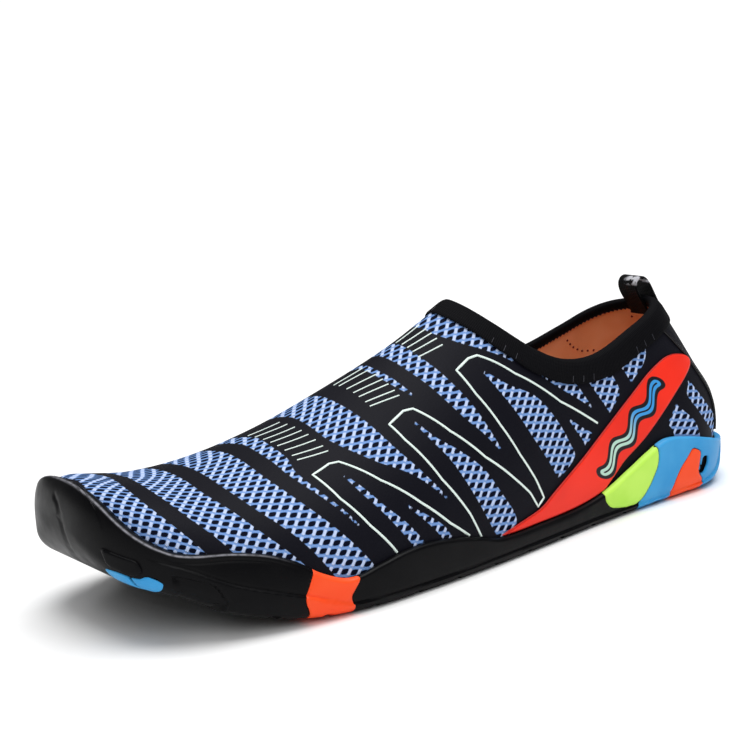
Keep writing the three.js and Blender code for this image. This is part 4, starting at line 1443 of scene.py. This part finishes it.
@dataclass(frozen=True)
class HeelTrim:
    """The pull loop, the tape over the back seam and the cord beside it."""

    tape_width: float = 11.0
    tape_thickness: float = 0.8
    tape_drop: float = 8.6
    loop_width: float = 10.0
    loop_thickness: float = 1.1
    path: tuple[tuple[float, float], ...] = (
        (1.55, -13.0), (1.75, -9.0), (1.95, -5.2), (2.1, -2.0), (2.3, 2.0), (2.6, 5.5),
        (2.5, 8.6), (1.6, 10.9),
        (0.1, 11.9), (-1.8, 11.9), (-3.3, 10.8), (-4.0, 8.4), (-4.0, 5.0), (-3.8, 1.5),
        (-3.8, -1.2), (-3.8, -3.2))
    cord: tuple[tuple[float, float], ...] = (
        (0.088, 0.40), (0.070, 0.345), (0.056, 0.300), (0.050, 0.250), (0.048, 0.200),
        (0.047, 0.150), (0.047, 0.110), (0.044, 0.070))

    def loop(self, finish: bpy.types.Material) -> bpy.types.Object:
        """The pull loop: a doubled strip of webbing over the binding."""
        high = float(FORM.cut(np.array([0.0]), Side.OUTER, 0.0, FORM.collar)[0])
        top, under = (FORM.wall(np.array(0.0), Side.OUTER, np.array(high - d), 0.0)
                      for d in (0.0, 0.08))
        up = (top - under) / np.linalg.norm(top - under)
        out = np.array([-up[2], 0.0, up[0]])
        knots = np.array([top + out * n + up * d for n, d in self.path])
        run = arc_shares(knots)
        fine = np.linspace(0, run[-1], 56)
        spine = np.stack([np.interp(fine, run, knots[:, k]) for k in range(3)], -1)
        for _ in range(6):
            spine[1:-1] = (spine[:-2] + 2 * spine[1:-1] + spine[2:]) / 4
        along = np.gradient(spine, axis=0)
        along /= np.linalg.norm(along, axis=1, keepdims=True)
        normal = np.cross(along, (0.0, 1.0, 0.0))
        half, thick = self.loop_width / 2, self.loop_thickness / 2
        ring = [(-half, 0.0), (-half + 0.3, -thick), (-half / 2, -thick), (0.0, -thick),
                (half / 2, -thick), (half - 0.3, -thick), (half, 0.0), (half - 0.3, thick),
                (half / 2, thick), (0.0, thick), (-half / 2, thick), (-half + 0.3, thick)]
        rows = np.array([[p + np.array((0, w, 0)) + n * t for w, t in ring]
                         for p, n in zip(spine, normal)])
        widths = np.array([w for w, _ in ring])
        chart = np.stack(np.broadcast_arrays(fine[:, None], widths[None, :]), -1)
        # top of the loop on its outer face, marked for the painted highlight and fraying
        pale = ease(rows[..., 2], rows[..., 2].max() - 3.2, rows[..., 2].max() - 2.2)
        pale = pale * ease(rows[..., 1], -1.5, 0.5)
        skin = Skin.grid(rows, True, chart, {"pale": pale}, loop=True)
        count = len(ring)
        last = (len(rows) - 1) * count
        skin.faces += [tuple(range(count)), tuple(last + k for k in reversed(range(count)))]
        skin.finish = np.zeros(len(skin.faces), int)
        return skin.to_object("loop_webbing", (finish,), 50.0)

    def tape(self, finish: bpy.types.Material) -> bpy.types.Object:
        """The flat tape down the back seam."""
        at = FORM.stations(240, 10, 4)
        at = at[at < 0.05]
        grow = GAP + self.tape_thickness
        skins = []
        for side in Side:
            turns = WallGrid(at, side, 110, FORM.collar, grow).turns()
            points = FORM.wall(at[:, None], side, turns, grow)
            chart = points[..., (1, 2)]
            skins.append(Skin.grid(points, side is Side.OUTER, chart))
        skin = Skin.joined(skins).welded()
        x, y, z = skin.points.T
        limits = (np.abs(y) - self.tape_width / 2, FORM.rand(x) + GAP - z,
                  z - FORM.collar(x) + self.tape_drop)
        plate = skin.clipped(np.max(limits, axis=0)).thickened(self.tape_thickness, 0.3, 0.7)
        return plate.to_object("heel_seam_tape", (finish,), 60.0)

    def piping(self, upper: Upper, finish: bpy.types.Material) -> bpy.types.Object:
        """A thin glossy cord down each edge of the heel's back."""
        paths = [upper.path(self.cord, side, 0.25) for side in Side]
        return PathWork("heel_piping", Repeat.BEAD, 0.62, 1.0, finish).build(paths)


# ---------------------------------------------------------------- sole

class BlockColour(Enum):
    """Colours of the blocks set into the rubber."""

    BLUE = "blue"
    LIME = "lime"
    ORANGE = "orange"


TOE_CENTRE = -6.8
TOE_SPLIT = 33.0
SPLIT_HALF = 0.35
TOE_BLOCK_REACH = 11.0


@dataclass(frozen=True)
class Block:
    """A coloured block: its name, colour, outline and view."""

    name: str
    colour: BlockColour
    outline: Outline
    side: Side | None
    from_front: bool = False

    def distance(self, points: np.ndarray) -> np.ndarray:
        """Signed distance of the sole's points to the block's outline."""
        if self.from_front:
            shape = toe_outline(self.outline, self.side or Side.OUTER, 1.0)
            away = outline_distance(points[..., (1, 2)], shape)
            split = np.abs(np.abs(points[..., 1] - TOE_CENTRE) - TOE_SPLIT)
            away = np.maximum(away, SPLIT_HALF - split)
            return np.maximum(away, FORM.length - TOE_BLOCK_REACH - points[..., 0])
        away = outline_distance(points[..., (0, 2)], side_outline(self.outline, 1.6))
        if self.side is not None:
            away = np.maximum(away, -self.side.value * points[..., 1])
        return away


BLOCKS: tuple[Block, ...] = (
    Block("heel_block_blue", BlockColour.BLUE, BLUE_BLOCK, None),
    Block("heel_block_lime_outer", BlockColour.LIME, LIME_BLOCK, Side.OUTER),
    Block("heel_block_lime_inner", BlockColour.LIME, LIME_BLOCK, Side.INNER),
    Block("heel_stripe_outer", BlockColour.ORANGE, HEEL_STRIPE, Side.OUTER),
    Block("heel_stripe_inner", BlockColour.ORANGE, HEEL_STRIPE, Side.INNER),
    Block("ball_block_outer", BlockColour.ORANGE, BALL_BLOCK, Side.OUTER),
    Block("ball_block_inner", BlockColour.ORANGE, BALL_BLOCK, Side.INNER),
    Block("toe_block_outer", BlockColour.BLUE, TOE_BLOCK, Side.OUTER, True),
    Block("toe_block_inner", BlockColour.BLUE, INNER_TOE_BLOCK, Side.INNER, True),
)


@dataclass(frozen=True)
class Outsole:
    """The rubber cup: rand, toe bumper, stepped side, tread and its blocks."""

    rand: float = 2.4
    step_out: float = 0.7
    step_line: float = 0.18
    tip_out: float = 1.1
    recess: float = 1.2
    toe_groove_depth: float = 0.42
    bead_height: float = 0.16
    bead_groove: float = 0.26
    notch_depth: float = 0.8
    pocket: float = 0.9
    proud: float = 0.28
    plate: float = 0.8
    plate_sink: float = 0.22
    plate_bevel: float = 0.55
    rib_out: float = 0.6
    groove_width: float = 2.4
    groove_depth: float = 1.6
    groove_pitch: float = 17.0
    groove_first: float = 18.0
    toe_groove: tuple[tuple[float, float], ...] = (
        (-7.0, 44.2), (-5.2, 43.0), (-4.0, 40.6), (-3.2, 36.8), (-2.6, 32.0), (-2.9, 27.0),
        (-4.6, 22.5))
    lip_rows: int = 20
    lip_depth: float = 4.8
    wall_rows: int = 56
    edge_rows: int = 18
    flat_rows: int = 8
    last_under: dict[Side, np.ndarray] = field(default_factory=dict)

    def relief(self, points: np.ndarray, under: np.ndarray, pockets: bool) -> np.ndarray:
        """How far the outside stands off its plain form at each point.

        Args:
            points: Points of the plain form.
            under: Running length from the rand's edge to each point.
            pockets: Whether the blocks' pockets are sunk.

        Returns:
            Extra growth in millimetres.
        """
        x, y, z = points[..., 0], points[..., 1], points[..., 2]
        at = np.clip(x / FORM.length, 0, 1)
        ground = FORM.section(at, 0.0)["ground"]
        over = z - ground - STEP_LINE.read("height", at)
        out = self.step_out * ease(over, 0.25, -0.25)
        out = out - self.step_line * np.exp(-((over - 0.5) / 0.35)**2)
        tip = ease(at, 0.925, 0.970)
        out = out * (1 - tip) + self.tip_out * tip
        hollow = outline_distance(points[..., (0, 2)], side_outline(SIDE_RECESS, 2.0))
        out = out - self.recess * ease(hollow, 0.35, -0.35)
        line = np.array(self.toe_groove)
        away = np.full(x.shape, 1e9)
        for a, b in zip(line[:-1], line[1:]):
            t = np.clip(((points[..., (1, 2)] - a) @ (b - a)) / ((b - a) @ (b - a)), 0, 1)
            near = a + t[..., None] * (b - a)
            away = np.minimum(away, np.hypot(y - near[..., 0], z - near[..., 1]))
        nose = ease(x, FORM.length - 12.0, FORM.length - 6.0)
        out = out - self.toe_groove_depth * np.exp(-away**2) * nose
        # a bead and a fine groove run along the toe's top edge
        lip = np.clip(under / 1.5, 0, 1)
        round_off = (self.rand - GAP - 0.1) * (1 - np.sqrt(np.clip(1 - (1 - lip)**2, 0, 1)))
        bead = self.bead_height * np.exp(-((under - 1.4) / 0.6)**2)
        bead = bead - self.bead_groove * np.exp(-((under - 2.7) / 0.5)**2)
        bead = bead * ease(at, 0.80, 0.86) * ease(at, 0.955, 0.925)
        out = out - round_off + bead
        if pockets:
            for block in BLOCKS:
                out = out - self.pocket * ease(block.distance(points), -0.30, -0.80)
            notch = outline_distance(points[..., (0, 2)], side_outline(HEEL_NOTCH, 1.0))
            out = out - self.notch_depth * ease(notch, 0.4, -0.4)
        return out

    def shape(self, at: np.ndarray, side: Side, pockets: bool,
              proud: float = 0.0) -> tuple[np.ndarray, np.ndarray]:
        """The outside of one half of the sole.

        Args:
            at: Shares of the length.
            side: Which half.
            pockets: Whether the blocks' pockets are sunk.
            proud: How far the whole half is grown outwards.

        Returns:
            Points from the rand's edge to the middle of the tread, and the
            turns of the wall rows.
        """
        turns = WallGrid(at, side, self.wall_rows, FORM.rand, self.rand, self.lip_rows,
                         self.lip_depth).turns()[:, ::-1]
        low = np.linspace(0, 1, self.edge_rows + 1)[None, 1:] * QUARTER
        shares = np.linspace(1, 0, self.flat_rows + 1)[None, 1:]

        def points(grow: list) -> np.ndarray:
            """Rows of the wall, the edge and the flat, each grown by its own amount."""
            column = at[:, None]
            return np.concatenate([FORM.wall(column, side, turns, grow[0]),
                                   FORM.edge(column, side, low, grow[1]),
                                   FORM.flat(column, side, shares, grow[2])], 1)

        plain = points([self.rand] * 3)
        self.last_under[side] = self.under(at, plain)
        extra = self.relief(plain, self.last_under[side], pockets) + proud
        cuts = np.cumsum([self.wall_rows + 1, self.edge_rows])
        full = points([self.rand + g for g in np.split(extra, cuts, axis=1)])
        return self.grooved(full, plain), turns

    def under(self, at: np.ndarray, plain: np.ndarray) -> np.ndarray:
        """Distance of the outside's points below the rand's top edge.

        Args:
            at: Shares of the length of the columns.
            plain: Points of the plain form, the edge first in each column.

        Returns:
            Millimetres for each point.
        """
        away = arc_shares(plain)
        knots = 0.90 + (self.meeting() - 0.90) * np.sin(np.linspace(0, 1, 400) * QUARTER)
        edge = np.concatenate([
            FORM.wall(knots, side, FORM.cut(knots, side, self.rand, FORM.rand), self.rand)
            for side in Side])
        front = np.flatnonzero(at > 0.94)
        near = np.array([np.min(np.linalg.norm(row[:, None] - edge, axis=-1), axis=1)
                         for row in plain[front]])
        blend = ease(at[front], 0.94, 0.955)[:, None]
        away[front] += (near - away[front]) * blend
        return away

    def bead(self, at: np.ndarray, side: Side) -> np.ndarray:
        """How strongly the painted highlight on the polished bead shows at each point of the
        outside.
        """
        under = self.last_under[side]
        line = np.exp(-((under - 0.8) / 0.24)**2)
        return line * ease(at, 0.80, 0.88)[:, None]

    def grooved(self, points: np.ndarray, plain: np.ndarray) -> np.ndarray:
        """The points with the tread's cross grooves pressed into its underside."""
        x, z = plain[..., 0], plain[..., 2]
        ground = FORM.section(np.clip(x / FORM.length, 0, 1), 0.0)["ground"]
        phase = (x - self.groove_first) / self.groove_pitch
        away = np.abs(phase - np.round(phase)) * self.groove_pitch
        last = FORM.length - self.groove_first + self.groove_width
        there = (x > self.groove_first - self.groove_width) & (x < last)
        deep = ease(away, self.groove_width / 2 + 0.35, self.groove_width / 2 - 0.35)
        low = ease(z - ground, 1.4, 0.4)
        out = points.copy()
        out[..., 2] = np.maximum(out[..., 2], 0.0) + self.groove_depth * deep * low * there
        return out

    def meeting(self) -> float:
        """Share of the length at which the rand meets the ridge."""
        return FORM.crossing(0.90, 1.0, self.rand, FORM.rand)

    def columns(self) -> np.ndarray:
        """Places of the grid's columns, with one where the rand meets the ridge."""
        at = FORM.stations(60, 290, 96)
        return np.unique(np.append(at, self.meeting()))

    def cup(self, finish: bpy.types.Material) -> bpy.types.Object:
        """The black rubber, closed inside under the upper."""
        at = self.columns()
        skins = []
        for side in Side:
            flip = side is Side.INNER
            outer, turns = self.shape(at, side, True)
            # strength of the painted bead highlight
            lit = {"bead": self.bead(at, side)}
            skins.append(Skin.grid(outer, flip, outer[..., (0, 2)], lit))
            few = turns[:, ::4]
            inner = FORM.wall(at[:, None], side, few, GAP)
            s = FORM.section(at, GAP)
            steps = np.linspace(1, 0, 5)[None, 1:]
            y = s["centre"][:, None] + side.value * s["half"][:, None] * steps
            column = {k: v[:, None] for k, v in s.items()}
            bed = FORM.placed(column, y, column["bed"] - GAP + 0 * y)
            feather = FORM.placed(s, s["centre"] + side.value * s["half"], s["bed"] - GAP)
            inside = np.concatenate([inner, feather[:, None], bed], 1)
            skins.append(Skin.grid(inside, not flip))
            skins.append(rim(outer[:, 0], inside[:, 0], not flip))
        cup = Skin.joined([Skin.joined(skins).welded(), self.rib()])
        return cup.to_object("sole_cup", (finish,), 40.0)

    def outside(self, proud: float) -> Skin:
        """The whole outside of the sole without pockets, grown by a little."""
        at = self.columns()
        halves = []
        for side in Side:
            points, _ = self.shape(at, side, False, proud)
            halves.append(Skin.grid(points, side is Side.INNER, points[..., (0, 2)]))
        return Skin.joined(halves).welded()

    def rib(self) -> Skin:
        """The raised rib on the toe's outer side."""
        both = self.outside(self.rib_out)
        front = FORM.length - 15.0 - both.points[:, 0]
        shape = toe_outline(TOE_RIB, Side.OUTER, 1.5)
        away = np.maximum(outline_distance(both.points[:, (1, 2)], shape), front)
        return both.clipped(away).thickened(1.2, 0.35, 0.6)

    def blocks(self, finishes: dict[BlockColour, bpy.types.Material]) -> list[bpy.types.Object]:
        """The coloured blocks, standing just proud of the rubber."""
        both = self.outside(self.proud)
        stripes = [b for b in BLOCKS if b.outline is HEEL_STRIPE]
        out = []
        for block in BLOCKS:
            away = block.distance(both.points) + GAP / 2
            if block.outline is BLUE_BLOCK:
                cover = np.min([s.distance(both.points) for s in stripes], axis=0)
                notch = outline_distance(both.points[:, (0, 2)], side_outline(HEEL_NOTCH, 1.0))
                away = np.max([away, GAP / 2 - cover, GAP / 2 - notch], axis=0)
            plate = both.clipped(away).thickened(self.plate, self.plate_sink, self.plate_bevel)
            finish = finishes[block.colour]
            out.append(plate.to_object(f"{block.name}_rubber", (finish,), 60.0))
        return out


@dataclass(frozen=True)
class Insole:
    """The foam insole on the bed, under its brushed cover."""

    thickness: float = 3.0
    clear: float = 2.4
    edge_drop: float = 0.35
    dish: float = 0.25
    rows: int = 34

    def build(self, finish: bpy.types.Material) -> bpy.types.Object:
        """The insole as a closed slab."""
        at = FORM.stations(24, 80, 40)
        at = at[at < 0.992]
        s = {k: v[:, None] for k, v in FORM.section(at, -self.clear).items()}
        across = np.sin(np.linspace(-QUARTER, QUARTER, self.rows + 1))[None, :]
        y = s["centre"] + s["half"] * across
        edge_drop = self.edge_drop * np.abs(across)**9
        rise = self.thickness * (1 - edge_drop) - self.dish * np.exp(-(across / 0.5)**2)
        top = FORM.placed(s, y, s["bed"] + rise)
        low = FORM.placed(s, y, s["bed"] + 0.1 + 0 * y)
        skins = [Skin.grid(top, False, top[..., :2]), Skin.grid(low, True, low[..., :2])]
        skins += [rim(top[:, 0], low[:, 0], False), rim(top[:, -1], low[:, -1], True),
                  rim(top[-1], low[-1], False), rim(top[0], low[0], True)]
        return Skin.joined(skins).welded().to_object("insole_foam", (finish,), 50.0)


# ---------------------------------------------------------------- studio

@dataclass(frozen=True)
class Studio:
    """A pale floor, soft lights and the camera at the photo's angle."""

    azimuth: float = 146.26
    elevation: float = 11.33
    distance: float = 680.0
    focal_px: float = 1804.78
    aim: tuple[float, float, float] = (119.0, -44.83, 53.6)
    roll: float = -4.91
    frame_px: tuple[int, int] = (741, 740)
    lamps: tuple[tuple[str, tuple[float, float, float], float, float], ...] = (
        ("above", (0.14, 0.03, -1.0), 52.0, 2.9),
        ("front", (-0.35, -0.62, -0.70), 45.0, 1.0),
        ("rim", (-0.23, 0.64, -0.73), 22.0, 0.35))

    def floor(self) -> None:
        """A wide pale sheet under the shoe."""
        finish = PlainCoat("matt_white_paper", "#F7F7F7", "#F4F4F4", 0.9, 2.0).build()
        mesh = bpy.data.meshes.new("floor")
        reach = 12.0
        mesh.from_pydata([(-reach, -reach, 0), (reach, -reach, 0), (reach, reach, 0),
                          (-reach, reach, 0)], [], [(0, 1, 2, 3)])
        mesh.materials.append(finish)
        link("floor", mesh)

    def camera(self) -> None:
        """The camera that took the photo, found from the shoe's outline."""
        az, el = math.radians(self.azimuth), math.radians(self.elevation)
        back = Vector((math.sin(az) * math.cos(el), -math.cos(az) * math.cos(el), math.sin(el)))
        aim = Vector(((np.array(self.aim) + SHIFT) * MM).tolist())
        data = bpy.data.cameras.new("camera")
        data.sensor_width = 36.0
        data.lens = self.focal_px / self.frame_px[0] * 36.0
        data.clip_end = 60.0
        camera = bpy.data.objects.new("camera", data)
        bpy.context.scene.collection.objects.link(camera)
        camera.location = aim + back * (self.distance * MM)
        turn = (-back).to_track_quat("-Z", "Y").to_matrix()
        roll = math.radians(self.roll)
        right, up = turn.col[0].copy(), turn.col[1].copy()
        turn.col[0] = right * math.cos(roll) + up * math.sin(roll)
        turn.col[1] = up * math.cos(roll) - right * math.sin(roll)
        camera.rotation_euler = turn.to_euler()
        bpy.context.scene.camera = camera

    def sun(self, name: str, towards: tuple, spread: float, power: float) -> None:
        """A distant soft lamp that shines along a direction."""
        data = bpy.data.lights.new(name, "SUN")
        data.angle = math.radians(spread)
        data.energy = power
        lamp = bpy.data.objects.new(name, data)
        lamp.rotation_euler = Vector(towards).to_track_quat("-Z", "Y").to_euler()
        bpy.context.scene.collection.objects.link(lamp)

    def lights(self) -> None:
        """A white surround, a broad lamp above, one from the front and one behind."""
        world = bpy.data.worlds.new("studio")
        world.use_nodes = True
        tree = world.node_tree
        seen = add_node(tree, "ShaderNodeLightPath").outputs["Is Camera Ray"]
        glow = add_node(tree, "ShaderNodeMapRange", {0: seen, 3: 0.16, 4: 1.05})
        tree.links.new(glow.outputs[0], tree.nodes["Background"].inputs[1])
        tree.nodes["Background"].inputs[0].default_value = (1, 1, 1, 1)
        bpy.context.scene.world = world
        for name, towards, spread, power in self.lamps:
            self.sun(name, towards, spread, power)
        bpy.context.scene.view_settings.view_transform = "Standard"

    def build(self) -> None:
        """Everything round the shoe."""
        self.camera()
        self.floor()
        self.lights()


def main() -> None:
    """Builds the shoe's pieces in order and reports each."""
    logging.basicConfig(level=logging.INFO, format="%(name)s %(message)s")
    Studio().build()
    knit, lining = StretchKnit().build(), BrushedLining().build()
    # the bead colour is a painted highlight along the toe's edge
    black = MouldedRubber("moulded_black_rubber", "#060608", "#0A0A0C", 0.38, gloss=0.09,
                          bead="#8A8A92").build()
    shades = {
        BlockColour.BLUE: ("#3195D3", "#45A3DC"),
        BlockColour.LIME: ("#B6EC52", "#C4F463"),
        BlockColour.ORANGE: ("#FC4E1F", "#FF5B2B"),
    }
    colours = {colour: MouldedRubber(f"moulded_{colour.value}_rubber", *pair, 0.42).build()
               for colour, pair in shades.items()}
    film = PrintedFilm().build()
    band = RibbedTape("knitted_collar_binding", "#060609").build()
    # the pale colour on the loop's top is a painted highlight, partly fraying
    webbing = RibbedTape("woven_loop_webbing", "#060608", rib_mm=0.7, roughness=0.5,
                         fray_and_glare="#C4C4CA").build()
    gloss = MouldedRubber("glossy_heel_cord", "#08080A", "#141417", 0.16).build()
    mint = PlainCoat("raised_mint_print", "#DCEFE7", "#E9F5F0", 0.45).build()
    pale = PlainCoat("grey_thread", "#2C2C33", "#45454E", 0.6).build()
    dark = PlainCoat("dark_thread", "#0B0B0E", "#19191E", 0.6).build()
    maroon = PlainCoat("punched_hole_edge", "#6E1410", "#4A0E0C", 0.8).build()

    upper = Upper()
    dress(upper.build(knit, lining), "patterned_mesh", "upper")
    for piece in Prints().build(upper, mint):
        dress(piece, "patterned_mesh")
    for side in Side:
        node = "side_panel_outer" if side is Side.OUTER else "side_panel_inner"
        dress(SidePanel(side).build(film), "red_film", node)

    collar = Collar()
    dress(collar.build(band), "black_tape", "collar_binding")
    for piece in collar.stitches(pale, dark):
        dress(piece, "black_tape")
    trim = HeelTrim()
    dress(trim.loop(webbing), "black_tape", "pull_loop")
    dress(trim.tape(webbing), "black_tape", "heel_tape")
    dress(trim.piping(upper, gloss), "black_tape")

    sole = Outsole()
    dress(sole.cup(black), "black_rubber", "outsole")
    for block, piece in zip(BLOCKS, sole.blocks(colours)):
        dress(piece, f"{block.colour.value}_rubber", block.name)
    dress(Insole().build(lining), "tan_lining", "insole")

    holes = [upper.path(stops, Side.OUTER, -1.85) for stops in LINING_HOLES]
    dots = PathWork("lining_perforations", Repeat.DOT, 0.45, 2.3, maroon).build(holes)
    dress(dots, "tan_lining")


if __name__ == "__main__":
    main()
